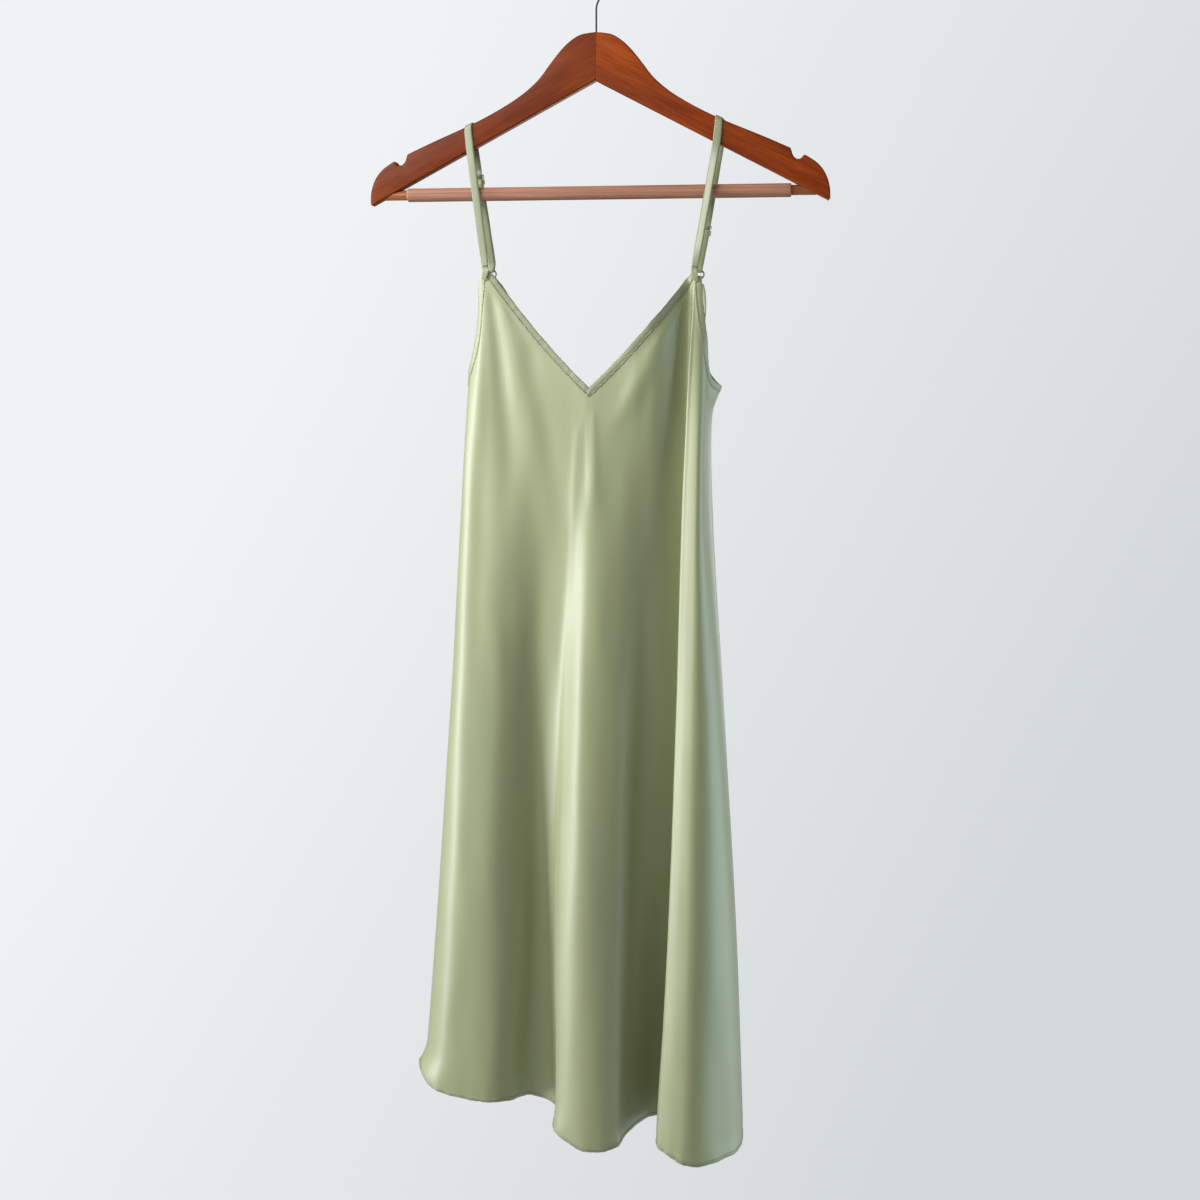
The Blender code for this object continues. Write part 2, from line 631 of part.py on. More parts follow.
# ---- Dress ---------------------------------------------------------------------
def build_dress(parts, mats, dress):
    front = fold_places(dress, "seam_left", "seam_right")
    back = fold_places(dress, "seam_right", "seam_left")
    panel("front_panel", dress, front, parts, mats["satin"])
    panel("back_panel", dress, back, parts, mats["satin"])
    edges = (
        ("neck_binding_front", "apex_left", "apex_right", SEAM_GAP),
        ("neck_binding_back", "back_right", "back_left", SEAM_GAP),
        ("armhole_binding_right", "apex_right", "back_right", FOLDED_SEAM_GAP),
        ("armhole_binding_left", "back_left", "apex_left", FOLDED_SEAM_GAP),
    )
    for name, first, last, gap in edges:
        binding(name, dress, fold_places(dress, first, last), gap, parts, mats["binding"])


def main():
    clear_scene()
    parts = make_collection("slip_dress_on_hanger")
    cutters = make_collection("cutters")
    mats = {
        "satin": material("sage_satin", (0.42, 0.48, 0.31), 0.38),
        "binding": material("sage_binding", (0.34, 0.39, 0.25), 0.45),
        "metal": material("strap_hardware", (0.62, 0.66, 0.5), 0.35),
        "wood": material("cherry_stained_wood", (0.27, 0.07, 0.025), 0.35),
        "dowel": material("dowel_wood", (0.4, 0.14, 0.05), 0.45),
        "sleeve": material("ribbed_sleeve", (0.5, 0.3, 0.22), 0.4),
        "hook": material("hook_steel", (0.25, 0.24, 0.25), 0.3, 1.0),
    }
    dress = Dress()
    build_hanger(parts, cutters, mats)
    build_hook(parts, mats)
    build_dress(parts, mats, dress)
    build_straps(parts, mats, dress)


main()
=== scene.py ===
"""Finish of a satin slip dress that hangs from a flat wooden hanger.

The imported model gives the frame: metres, +Z up, the dress front faces -Y and the
origin is the inner top of the hook. Each operator makes one group of pieces in the
place of the plain solids it replaces: cloth shells with their creases, bound edges,
straps with their sliders and rings, stitching, and the hanger's wood, bar and wire.
Lengths in tables and in the Dress class are millimetres, as a pattern cutter writes them.
"""

import math

import bmesh
import bpy
import numpy as np
from mathutils import Matrix, Vector


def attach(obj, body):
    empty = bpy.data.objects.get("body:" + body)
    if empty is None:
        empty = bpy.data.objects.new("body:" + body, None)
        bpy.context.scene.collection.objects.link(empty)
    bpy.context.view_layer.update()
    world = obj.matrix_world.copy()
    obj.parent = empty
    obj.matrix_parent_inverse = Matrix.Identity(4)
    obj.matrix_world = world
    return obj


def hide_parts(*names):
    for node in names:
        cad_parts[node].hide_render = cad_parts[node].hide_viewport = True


bl_info = {
    "name": "Slip dress finish",
    "version": (1, 0, 0),
    "blender": (4, 5, 0),
    "location": "3D View > Sidebar > Slip dress",
    "description": "Builds the cloth, trims and hanger of a satin slip dress on its packed frame",
    "category": "Object",
}

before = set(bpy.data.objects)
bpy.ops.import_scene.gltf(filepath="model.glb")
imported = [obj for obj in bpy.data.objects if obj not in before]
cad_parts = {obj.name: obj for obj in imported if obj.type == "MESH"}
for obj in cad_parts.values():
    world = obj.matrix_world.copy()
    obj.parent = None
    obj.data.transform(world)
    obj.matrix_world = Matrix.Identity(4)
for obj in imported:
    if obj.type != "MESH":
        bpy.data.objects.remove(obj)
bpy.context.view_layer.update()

MM = 0.001
ROUND_LENGTH = 640.0         # mean length round the dress
BODY = "root"
SIDES = (("left", -1), ("right", 1))
FRONT, BACK = (0, -1, 0), (0, 1, 0)  # ways out of the dress's front and back

# ---- Pattern sizes (mm) --------------------------------------------------------
SEAM_GAP = 0.3
BAND_WIDTH = 6.0
BAND_LAP = 0.7               # how far a band's lower lips lie over the cloth's edge
STRAP_WIDTH = 7.6
LOOP_WIDTH = 4.4
LOOP_HALF = 1.6
STRAP_LIFT = 0.8             # middle of a strap above what it lies on
STRAP_CROWN = 0.35           # how far a strap's middle stands above its edges
APEX_LIFT = 2.3              # middle of a strap's front end above the cloth's middle
POINT_LIFT = 3.6             # middle of the tab over each strap point
SEWN_NARROW = 1.2            # narrowing of a strap where it is sewn to its point
RING_RADIUS = 3.9
RING_WIRE = 0.75
RING_SEAT = 0.5              # from the ring's middle line to the turn of what lies round it
SLIDER_SIZE = (10.4, 10.0)
SLIDER_RIM = 1.2
SLIDER_BAR = 1.4
SLIDER_PLATE = 1.2
HEM_STITCH = 3.4             # height of the hem's stitching over its edge
ARM_THICK = 12.0
ARM_ROUND = 1.8
ARM_FALL = 0.511             # slope of the arms' straight undersides
MITRE_GAP = 0.12             # half the gap between the arms
GRAIN_FALL = 27.0            # degrees that the grain falls outwards with each arm
CROTCH = -131.6              # height where the undersides meet
HOOK_INNER = 21.0
STEM_FOOT = -118.0

# Short flares of the plain form: fold line, half width round the dress, height, half height
# and the shift in plan.
FLARES = (
    ("seam_right", 15.0, -417.0, 18.0, (8.0, 0.0)),
    ("edge_left", 34.0, -1158.0, 19.0, (-9.0, 0.0)),
    ("flank_c", 16.0, -1210.0, 12.0, (2.5, -1.0)),
    ("rise_b", 12.0, -1192.0, 22.0, (-3.0, -1.0)),
)

# Point (x, z) of each V, its half span and its rise
NECK_FRONT = dict(x=-3.8, z=-428.0, span=99.0, rise=111.0)
NECK_BACK = dict(x=-5.0, z=-455.0, span=103.0, rise=135.0)
NECK_STRAIGHT = 0.79         # share of a neckline that is straight, the rest a parabola
ARMHOLE_CURVE = 2.1          # power of an armhole's curve
DRESS_AXIS = (-5.0, 14.0)    # a place inside the dress, seen from above
FINE_FOLDS = ("turn_c", "apex_right")
FINE_STEP = 0.4              # steps on the fine folds for one on the others
STEP_HEIGHT = -800.0         # height at which the steps round the dress are measured
CORNERS = dict(
    seam_left=-424.0, apex_left=-311.4, apex_right=-313.9,
    seam_right=-424.0, back_right=-320.0, back_left=-320.0)

# Plan position (x, y) of each fold line at these heights, and its hem height.
HEIGHTS = (-310.0, -425.0, -475.0, -735.0, -990.0, -1185.0)
FOLDS = (
    # name, strap height, underarm, bust, waist, hip, hem plan, hem height
    ("seam_left", (-118, 14), (-127, 15), (-130, 17), (-152, 26), (-175, 35), (-193, 43), -1160.0),
    ("edge_left", (-114, 3), (-129, 2), (-133, 3), (-153, 9), (-175, 14), (-194, 20), -1150.0),
    ("turn_a", (-110, -7), (-120, -9.5), (-124, -8), (-142, -8), (-157, -8.5), (-172, -10.5), -1164.0),
    ("apex_left", (-107, -14), (-106, -12.5), (-107, -11.5), (-120, -15), (-129, -17),
     (-131, -21.5), -1169.0),
    ("flank_a", (-76, -15), (-79, -15.5), (-80, -14.5), (-85, -12), (-90, -11), (-96, -16), -1170.0),
    ("valley_a", (-46, -17), (-48, -18), (-49, -16.5), (-59, -4), (-65, 9), (-72, 12), -1177.0),
    ("under_b", (-24, -20), (-27, -20.5), (-27, -19), (-39, -10), (-46, 1), (-45, 4), -1182.0),
    ("rise_b", (-13, -22), (-15, -22.5), (-15.5, -21.5), (-29, -18.5), (-36, -25), (-37, -32), -1190.0),
    ("crest_b", (-3, -24), (-3.8, -24), (-2, -24.5), (-9.5, -33.5), (-13, -42), (-11, -50), -1201.0),
    ("flank_b", (22, -24), (24, -25), (26, -24), (25, -29), (22, -36), (25, -45.5), -1199.0),
    ("turn_b", (42, -24.5), (46, -25.5), (48, -22.5), (49, -11), (44, -14), (38, -21), -1191.0),
    ("valley_b", (62, -23), (67, -21), (68, -17), (71, -3), (66, 3), (57, 6), -1189.0),
    ("turn_c", (86, -10), (87, -8), (87, -6), (91, 2), (88, 9), (78, 13), -1191.0),
    ("apex_right", (97.3, -14), (91.5, -17.5), (90, -19), (84.5, -24), (78, -31), (69, -38), -1197.0),
    ("crest_c", (102, -12), (103, -19), (102, -23.5), (101, -34), (100, -44), (98, -53.5), -1208.0),
    ("flank_c", (107, -4), (110, -6), (109.5, -8), (123, -19), (134, -23), (139, -27), -1210.0),
    ("seam_right", (112, 12), (113, 13), (112, 15), (128, 9), (145, 7), (154, 5), -1209.0),
    ("edge_right", (102, 29), (105, 30), (108, 33), (122, 38), (137, 42), (146, 44), -1197.0),
    ("back_right", (97, 34), (94, 46), (93, 48), (98, 60), (106, 72), (112, 84), -1188.0),
    ("hollow_r", (64, 37), (60, 42), (60, 43), (64, 44), (67, 46), (70, 48), -1190.0),
    ("crest_mid", (30, 39), (28, 46), (28, 48), (26, 62), (25, 76), (24, 88), -1184.0),
    ("hollow_mid", (-5, 40), (-5, 45), (-6, 46), (-14, 48), (-20, 50), (-24, 52), -1182.0),
    ("crest_left", (-50, 39), (-54, 46), (-56, 48), (-63, 60), (-70, 74), (-74, 84), -1172.0),
    ("hollow_l", (-80, 37), (-83, 43), (-85, 44), (-99, 46), (-108, 50), (-116, 55), -1171.0),
    ("back_left", (-109.6, 34), (-107.5, 46), (-108, 48), (-128, 59), (-146, 70), (-162, 80), -1170.0),
    ("edge_back", (-116, 28), (-121, 34), (-124, 36), (-147, 45), (-169, 54), (-190, 64), -1166.0),
)

# Soft creases in the cloth, each a line from its upper to its lower end (x, z),
# with its half width at both ends and its height at the wider end, above 0 a ridge and
# below 0 a trough; it is as steep all the way.
FRONT_CREASES = (
    # name, upper end, lower end, bow of the line, half widths, height
    ("strap_left_ridge", (-112, -322), (-116, -500), 1.0, (5, 9), 0.7),
    ("strap_left_trough", (-103, -314), (-80, -560), 2.0, (6, 19), -3.6),
    ("strap_left_second", (-94, -322), (-50, -520), 0.0, (8, 17), 1.5),
    ("strap_left_shallow", (-64, -366), (-38, -550), 2.0, (9, 17), -0.9),
    ("strap_right_ridge", (80, -334), (20, -468), 2.0, (8, 16), 2.4),
    ("strap_right_trough", (92, -326), (74, -540), -1.0, (8, 18), -1.8),
    ("bust_right_ridge", (50, -368), (20, -470), 2.0, (6, 12), 0.7),
    ("bust_right_trough", (60, -362), (40, -500), 1.0, (6, 11), -0.6),
    ("point_ridge", (0, -436), (-1, -560), 1.5, (3, 9), 1.4),
    ("point_trough", (-8, -446), (-9, -540), 0.0, (2, 6), -0.7),
    ("point_second", (-14, -450), (-20, -570), -1.5, (3, 9), 0.9),
    ("waist_left", (-96, -640), (-112, -1010), 2.0, (12, 20), 1.4),
    ("hip_left", (-66, -760), (-84, -1150), -2.0, (10, 18), 1.2),
    ("hip_mid", (26, -700), (20, -1120), 2.0, (11, 17), 1.2),
    ("hip_right", (118, -690), (128, -1130), 0.0, (10, 18), 1.2),
)
BACK_CREASES = (
    ("strap_left_ridge", (-100, -330), (-92, -520), 1.0, (7, 14), 1.8),
    ("strap_left_trough", (-92, -336), (-72, -540), 2.0, (7, 14), -2.0),
    ("strap_right_ridge", (88, -330), (76, -530), -1.0, (7, 14), 1.9),
    ("strap_right_trough", (80, -340), (58, -520), -2.0, (7, 13), -2.0),
    ("point_ridge", (-4, -470), (-9, -610), 1.0, (5, 10), 1.4),
    ("point_trough", (6, -468), (8, -590), 0.0, (6, 10), -1.2),
    ("waist_mid", (8, -640), (4, -1060), 2.0, (12, 20), 1.4),
    ("waist_left", (-92, -620), (-112, -980), -2.0, (12, 20), -1.2),
    ("hip_right", (84, -700), (92, -1130), 2.0, (11, 19), 1.4),
)

# Tighter turns of the cloth that follow the fold lines: a shift round the dress (mm),
# half width (mm), the heights where it starts and is full, and its height (mm).
TUCKS = (
    # fold line, shift, half width, start, full, height
    ("turn_c", -6.0, 16.0, -350.0, -450.0, -1.6),
    ("apex_right", 0.6, 4.0, -316.0, -400.0, 0.9),
    ("crest_c", -6.0, 9.0, -420.0, -620.0, -0.8),
    ("flank_c", -2.0, 12.0, -420.0, -620.0, -0.9),
    ("apex_left", -2.0, 14.0, -440.0, -620.0, -0.5),
    ("flank_a", -10.0, 26.0, -440.0, -620.0, 2.6),
    ("turn_a", 3.0, 16.0, -440.0, -600.0, 0.9),
    ("rise_b", 0.0, 9.0, -560.0, -760.0, 0.3),
    ("valley_a", 0.0, 14.0, -640.0, -900.0, -1.2),
)

# Small waves of the cloth. A ripple is a row of (height, turn per mm, start).
BELL = 0.55                  # spread of a crease's section for its half width
CREASE_FADES = (0.12, 0.45)  # shares of a crease's length in which it rises and dies out
WAVES = 9                    # slow waves of each panel
WAVE_ACROSS = (26, 70)       # lengths of the slow waves round the dress and down it
WAVE_DOWN = (170, 420)
WAVE_TURN = 6.28
WAVE_TILT = 0.12
WAVE_HEIGHT = 0.09
SEAM_FADE = 26.0             # creases fade out this close to a side seam,
HEM_FADE = 120.0             # over this height towards the hem, to nothing HEM_KEEP below it,
HEM_KEEP = 30.0
TOP_FADE = 15.0              # and over this height under a bound edge
PUCKER = (0.16, 5.0)         # height and reach of the puckers under a bound edge
PUCKER_FADE = 8.0            # and where they fade out at a side seam
PUCKERS = ((1.0, 0.66, 0.0),)           # one by one
PUCKER_GROUPS = ((0.4, 0.217, 1.0),)    # and stronger and weaker by turns
FLUTE = (0.32, 14.0)         # height and reach of the flutes over the hem
FLUTES = ((1.0, 0.31, 0.7), (0.6, 0.193, 2.1))
SEAM_PINCH = (0.42, 1.3)     # depth and half width of the groove along a side seam
BAND_SWELL = ((0.07, 0.78, 0.0), (0.06, 0.47, 1.3))
BAND_TUCK = ((0.10, 0.62, 0.4), (0.08, 1.07, 0.0))
BAND_RISE = ((0.14, 0.23, 0.0), (0.08, 0.71, 0.0))
HEM_SWELL = ((0.10, 0.95, 0.0), (0.08, 0.41, 2.0))
HEM_RISE = ((0.18, 0.27, 0.0), (0.12, 0.83, 0.0))

# Sections (out, up) of one face of a folded band, its outs in halves of its thickness, and
# of the rolled hem, in mm
BAND_SECTION = (
    (0.55, -BAND_LAP), (1.0, -0.35), (1.1, 0.4), (0.78, 1.0), (1.0, 1.7), (1.05, 3.6),
    (0.98, 5.3), (0.7, 6.1), (0.3, 6.3))
HEM_SECTION = (
    (0.50, 3.9), (0.86, 3.5), (0.98, 2.6), (0.94, 1.6), (1.0, 0.6), (0.85, 0.0), (0.45, -0.35))

# ---- Hanger outline (x, z), right half -------------------------------------------
SHOULDER = (
    (0.0, -88.0), (9.0, -88.9), (15.0, -90.2), (21.0, -93.2), (27.0, -97.6), (33.0, -103.2),
    (39.0, -110.0), (45.5, -118.0), (53.0, -127.6), (62.0, -136.2), (72.0, -143.8),
    (86.0, -152.4), (103.0, -161.4), (122.0, -170.2), (140.0, -177.6), (162.0, -186.6),
    (184.6, -196.4))
NOTCH = ((185.6, -199.0), (187.2, -203.4), (190.6, -206.4), (194.2, -206.2), (197.4, -203.0))
TIP = (
    (202.6, -205.4), (208.4, -209.2), (213.4, -213.9), (217.4, -219.6), (220.2, -225.8),
    (222.0, -232.6), (222.6, -239.0), (222.2, -243.4), (221.0, -244.5))

STRAPS = (
    # front end (x, z), x on the arm's front and back, centre of the back ring, slider's share
    # of the way down and how far the front of the strap is turned to the right
    dict(name="left", side=-1, apex=(-105.8, -310.0), arm=-123.6, behind=-121.4,
         ring=(-110.2, 34.0, -309.0), slider=0.25, turned=0.06),
    dict(name="right", side=1, apex=(96.2, -312.0), arm=117.0, behind=119.2,
         ring=(98.0, 34.0, -310.5), slider=0.70, turned=-0.30),
)


# ---- Lines and curves --------------------------------------------------------------
def unit(vectors):
    return vectors / np.linalg.norm(vectors, axis=-1, keepdims=True)


def run_of(points):
    """Length along a line up to each of its points."""
    return np.concatenate([[0.0], np.cumsum(np.linalg.norm(np.diff(points, axis=0), axis=1))])


def steady(direction, line):
    """The same direction for each point of a line."""
    return np.tile(direction, (len(line), 1))


def smooth_step(value):
    value = np.clip(value, 0.0, 1.0)
    return value * value * (3 - 2 * value)


def bell(away, half):
    """Height of a soft ridge at a distance from its middle, for its half width."""
    return np.exp(-0.5 * (away / (BELL * half)) ** 2)


def ripple(run, waves, level=0.0):
    """Waves of (height, turn per mm, start) along a run, on top of a level."""
    return sum((height * np.sin(run * rate + start) for height, rate, start in waves), level)


def circle(radius, sides):
    turn = np.linspace(0.0, 2 * math.pi, sides, endpoint=False)
    return np.stack([radius * np.cos(turn), radius * np.sin(turn)], axis=1)


def spline(knots, values, at):
    """Smooth curve through values at rising knots (non-uniform Catmull-Rom)."""
    knots, values, at = (np.asarray(a, float) for a in (knots, values, at))
    slopes = np.gradient(values, knots, axis=0)
    i = np.clip(np.searchsorted(knots, at) - 1, 0, len(knots) - 2)
    shape = at.shape + (1,) * (values.ndim - 1)
    span = (knots[i + 1] - knots[i]).reshape(shape)
    t = np.clip((at - knots[i]).reshape(shape) / span, 0.0, 1.0)
    rise = 3 * t**2 - 2 * t**3
    return (values[i] * (1 - rise) + values[i + 1] * rise
            + span * slopes[i] * (t - 2 * t**2 + t**3)
            + span * slopes[i + 1] * (t**3 - t**2))


# ---- The dress's surface -----------------------------------------------------------
class Dress:
    """The dress's middle surface in mm, by place u (turns round it) and height z."""

    def __init__(self):
        self.names = [row[0] for row in FOLDS]
        self.plan = np.array([row[1:7] for row in FOLDS], float)
        self.hems = np.array([row[7] for row in FOLDS])
        self.depths = -np.array(HEIGHTS)
        spread = self.plan[:, 3:6].mean(axis=1)
        steps = np.linalg.norm(np.roll(spread, -1, axis=0) - spread, axis=1)
        self.places = np.concatenate([[0.0], np.cumsum(steps)]) / steps.sum()
        turn = self.places[:-1]
        self.lap = np.concatenate([turn - 1, turn, turn + 1])
        self.lap_shares = np.tile(np.eye(len(turn)), (3, 1))
        self.level_shares = np.eye(len(HEIGHTS))

    def place(self, name):
        return float(self.places[self.names.index(name)])

    def shares(self, u):
        """How much each fold line counts at u."""
        return spline(self.lap, self.lap_shares, np.asarray(u, float) % 1.0)

    def point(self, u, z):
        u, z = np.broadcast_arrays(np.asarray(u, float), np.asarray(z, float))
        down = spline(self.depths, self.level_shares, -z)
        plan = np.einsum("...f,...l,flk->...k", self.shares(u), down, self.plan)
        for name, half_round, height, half_height, shift in FLARES:
            away = (np.mod(u - self.place(name) + 0.5, 1.0) - 0.5) * ROUND_LENGTH / half_round
            share = np.exp(-away**2 - ((z - height) / half_height) ** 2)
            plan = plan + share[..., None] * np.array(shift)
        return np.concatenate([plan, z[..., None]], axis=-1)

    def hem(self, u):
        return self.shares(u) @ self.hems

    def neck(self, u, cut):
        """Height where a neckline crosses the fold lines at u."""
        z = np.full(np.shape(u), cut["z"])
        for _ in range(12):      # the cut's height and its place settle together
            share = np.abs(self.point(u, z)[..., 0] - cut["x"]) / cut["span"]
            z = cut["z"] + cut["rise"] * (NECK_STRAIGHT * share + (1 - NECK_STRAIGHT) * share**2)
        return z

    def armhole(self, u, seam, strap_point):
        """Height of an armhole's edge, curving up from its side seam."""
        low, high = self.place(seam), self.place(strap_point)
        if high - low > 0.5:
            low += 1.0           # the left seam opens the turn and closes it
        share = np.clip((u - low) / (high - low), 0.0, 1.0)
        return CORNERS[seam] + (CORNERS[strap_point] - CORNERS[seam]) * share**ARMHOLE_CURVE

    def top(self, u):
        """Height of the cloth's upper edge at u."""
        u = np.asarray(u, float) % 1.0
        stops = [self.place(n) for n in ("apex_left", "apex_right", "seam_right", "back_right")]
        return np.select(
            [u <= stops[0], u < stops[1], u <= stops[2], u <= stops[3], u < self.place("back_left")],
            [self.armhole(u, "seam_left", "apex_left"), self.neck(u, NECK_FRONT),
             self.armhole(u, "seam_right", "apex_right"),
             self.armhole(u, "seam_right", "back_right"), self.neck(u, NECK_BACK)],
            self.armhole(u, "seam_left", "back_left"))

    def round(self, first, last, step):
        """Places from one fold line round to another, at most step mm apart, on every fold."""
        fine = [self.place(name) for name in FINE_FOLDS]
        count = len(self.names)
        start, stop = self.names.index(first), self.names.index(last)
        if stop < start:
            stop += count
        lines = [float(self.places[i % count]) + i // count for i in range(start, stop + 1)]
        middle = self.point(np.array(lines), STEP_HEIGHT)
        out = []
        for low, high, a, b in zip(lines, lines[1:], middle, middle[1:]):
            size = FINE_STEP * step if low in fine else step
            parts = max(2, math.ceil(np.linalg.norm(b - a) / size))
            out += list(np.linspace(low, high, parts, endpoint=False))
        return np.array(out + [lines[-1]])


dress = Dress()


def crease_height(points, creases):
    """Sum of the soft creases at each point, in mm along the cloth's normal."""
    x, z = points[..., 0], points[..., 2]
    total = np.zeros(x.shape)
    for _, upper, lower, bow, widths, height in creases:
        (x0, z0), (x1, z1) = upper, lower
        along = np.clip((z - z0) / (z1 - z0), -0.3, 1.3)
        middle = x0 + (x1 - x0) * along + bow * 4 * along * (1 - along)
        half = widths[0] + (widths[1] - widths[0]) * np.clip(along, 0, 1)
        t = np.clip(along, 0, 1)
        ends = np.clip(np.minimum(t / CREASE_FADES[0], (1 - t) / CREASE_FADES[1]), 0, 1)
        across = bell(x - middle, half)
        total += height * half / max(widths) * across * ends * ends * (3 - 2 * ends)
    return total


def slow_waves(points, seed):
    """Faint unevenness of hanging satin: long waves that run mostly downwards."""
    x, z = points[..., 0], points[..., 2]
    rng = np.random.default_rng(seed)
    total = np.zeros(x.shape)
    for _ in range(WAVES):
        across, down = rng.uniform(*WAVE_ACROSS), rng.uniform(*WAVE_DOWN)
        phase, tilt = rng.uniform(0, WAVE_TURN), rng.uniform(-WAVE_TILT, WAVE_TILT)
        wave = np.sin((x + tilt * z) * WAVE_TURN / across + phase)
        total += wave * np.sin(z * WAVE_TURN / down + phase)
    return WAVE_HEIGHT * total


def edge_line(first, last, step):
    """Edge points, in-cloth upward directions and outward normals along part of the top edge."""
    u = dress.round(first, last, step)
    top = dress.top(u)
    edge = dress.point(u, top)
    rise = edge - dress.point(u, top - 3.0)
    steps = unit(np.diff(edge, axis=0))
    fall = rise[:-1] * 0.5 + rise[1:] * 0.5
    up = unit(fall - steps * np.sum(fall * steps, axis=1, keepdims=True))
    before = np.concatenate([up[:1], up])
    after = np.concatenate([up, up[-1:]])
    mitre = (before + after) / (1.0 + np.sum(before * after, axis=1, keepdims=True))
    out = unit(np.cross(rise, np.gradient(edge, axis=0)))
    flip = np.sign(np.sum(out[:, :2] * (edge[:, :2] - DRESS_AXIS), axis=1))
    return edge, mitre, out * np.sign(flip.sum())


def surface_normal(u, z):
    """Outward normal of the plain surface at u and z."""
    along = dress.point(u + 0.001, z) - dress.point(u - 0.001, z)
    down = dress.point(u, z - 1.5) - dress.point(u, z + 1.5)
    return unit(np.cross(down, along))


EDGE_TURNS = np.linspace(0.0, 1.0, 2401)
EDGE_RUN = run_of(dress.point(EDGE_TURNS, dress.top(EDGE_TURNS)))


def relief(base, u, z, side, depth):
    """How far the cloth stands off its plain form: creases, waves, puckers and hem."""
    creases, seed = (FRONT_CREASES, 7) if side == "front" else (BACK_CREASES, 8)
    turn = np.asarray(u) % 1.0
    seams = [0.0, 1.0, dress.place("seam_right")]
    gap = np.min([np.abs(turn - s) for s in seams], axis=0) * ROUND_LENGTH
    clear = smooth_step(gap / SEAM_FADE)
    below, above = dress.top(u) - z, z - dress.hem(u)
    run = np.interp(turn, EDGE_TURNS, EDGE_RUN)
    height = depth * (crease_height(base, creases) + slow_waves(base, seed))
    height *= clear * smooth_step((above + HEM_KEEP) / HEM_FADE)
    for name, shift, half, start, full, amount in TUCKS:
        away = (turn - dress.place(name)) * ROUND_LENGTH - shift
        height += amount * smooth_step((start - z) / (start - full)) * bell(away, half)
    height *= smooth_step((below - 1.0) / TOP_FADE)
    pucker = ripple(run, PUCKERS) * ripple(run, PUCKER_GROUPS, 0.6)
    near_top = np.exp(-np.clip(below, 0, None) / PUCKER[1])
    height += PUCKER[0] * pucker * near_top * smooth_step(gap / PUCKER_FADE)
    near_hem = np.exp(-np.clip(above, 0, None) / FLUTE[1])
    height += FLUTE[0] * ripple(run, FLUTES) * near_hem * clear
    height -= SEAM_PINCH[0] * np.exp(-(gap / SEAM_PINCH[1]) ** 2)
    return height


def cloth_surface(u, z, side, depth=1.0):
    """Points and normals of the finished cloth's middle."""
    u, z = np.broadcast_arrays(np.asarray(u, float), np.asarray(z, float))
    base = dress.point(u, z)
    normal = surface_normal(u, z)
    return base + normal * relief(base, u, z, side, depth)[..., None], normal


# ---- Meshes ------------------------------------------------------------------------
def add_object(mesh, material, replaced=()):
    """Object of a mesh, by its name, that rides on the dress's body, with its finish."""
    obj = bpy.data.objects.new(mesh.name, mesh)
    bpy.context.scene.collection.objects.link(obj)
    mesh.materials.append(material)
    mesh.shade_smooth()
    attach(obj, BODY)
    for node in replaced:
        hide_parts(node)
    return obj


def make_mesh(name, verts, faces, uvs=None):
    """Mesh from points in mm, with a texture map in metres."""
    mesh = bpy.data.meshes.new(name)
    mesh.from_pydata((np.asarray(verts, float) * MM).tolist(), [], faces)
    if uvs is not None:
        layer = mesh.uv_layers.new(name="Pattern")
        corners = np.empty(len(mesh.loops), int)
        mesh.loops.foreach_get("vertex_index", corners)
        layer.data.foreach_set("uv", (np.asarray(uvs, float) * MM)[corners].ravel())
    mesh.update()
    return mesh


def grid_faces(rows, columns, ring=False):
    """Quads of a grid of points; a ring joins each row's end to its start."""
    index = np.arange(rows * columns).reshape(rows, columns)
    if ring:
        index = np.concatenate([index, index[:, :1]], axis=1)
    quads = np.stack([index[:-1, :-1], index[1:, :-1], index[1:, 1:], index[:-1, 1:]], axis=-1)
    return quads.reshape(-1, 4).tolist()


def end_caps(rows, columns):
    """Faces that close the two ends of a ringed grid."""
    return [list(range(columns)), list(range(rows * columns - 1, (rows - 1) * columns - 1, -1))]


def face_outwards(mesh, prepare=None):
    """Turns a mesh's faces outwards, once a first step has worked on it."""
    work = bmesh.new()
    work.from_mesh(mesh)
    if prepare:
        prepare(work)
    bmesh.ops.recalc_face_normals(work, faces=work.faces)
    work.to_mesh(mesh)
    work.free()


def sweep_mesh(name, middle, across, out, profile, closed=False):
    """Closed profile (across, out) carried along a line of middles, with end caps."""
    middle, across, out = (np.asarray(a, float) for a in (middle, across, out))
    profile = np.asarray(profile, float)
    if profile.ndim == 2:
        profile = np.broadcast_to(profile, (len(middle), *profile.shape))
    points = (middle[:, None] + across[:, None] * profile[..., :1] + out[:, None] * profile[..., 1:])
    rows, columns = points.shape[:2]
    faces = grid_faces(rows, columns, ring=True)
    if closed:
        last = (rows - 1) * columns
        for a in range(columns):
            b = (a + 1) % columns
            faces.append([last + a, a, b, last + b])
    else:
        faces += end_caps(rows, columns)
    edge = np.linalg.norm(np.diff(profile[0], axis=0, prepend=profile[0][-1:]), axis=1).cumsum()
    uvs = np.stack(np.broadcast_arrays(run_of(middle)[:, None], edge[None, :]), axis=-1)
    mesh = make_mesh(name, points.reshape(-1, 3), faces, uvs.reshape(-1, 2))
    face_outwards(mesh)
    mesh.set_sharp_from_angle(angle=math.radians(40))
    return mesh


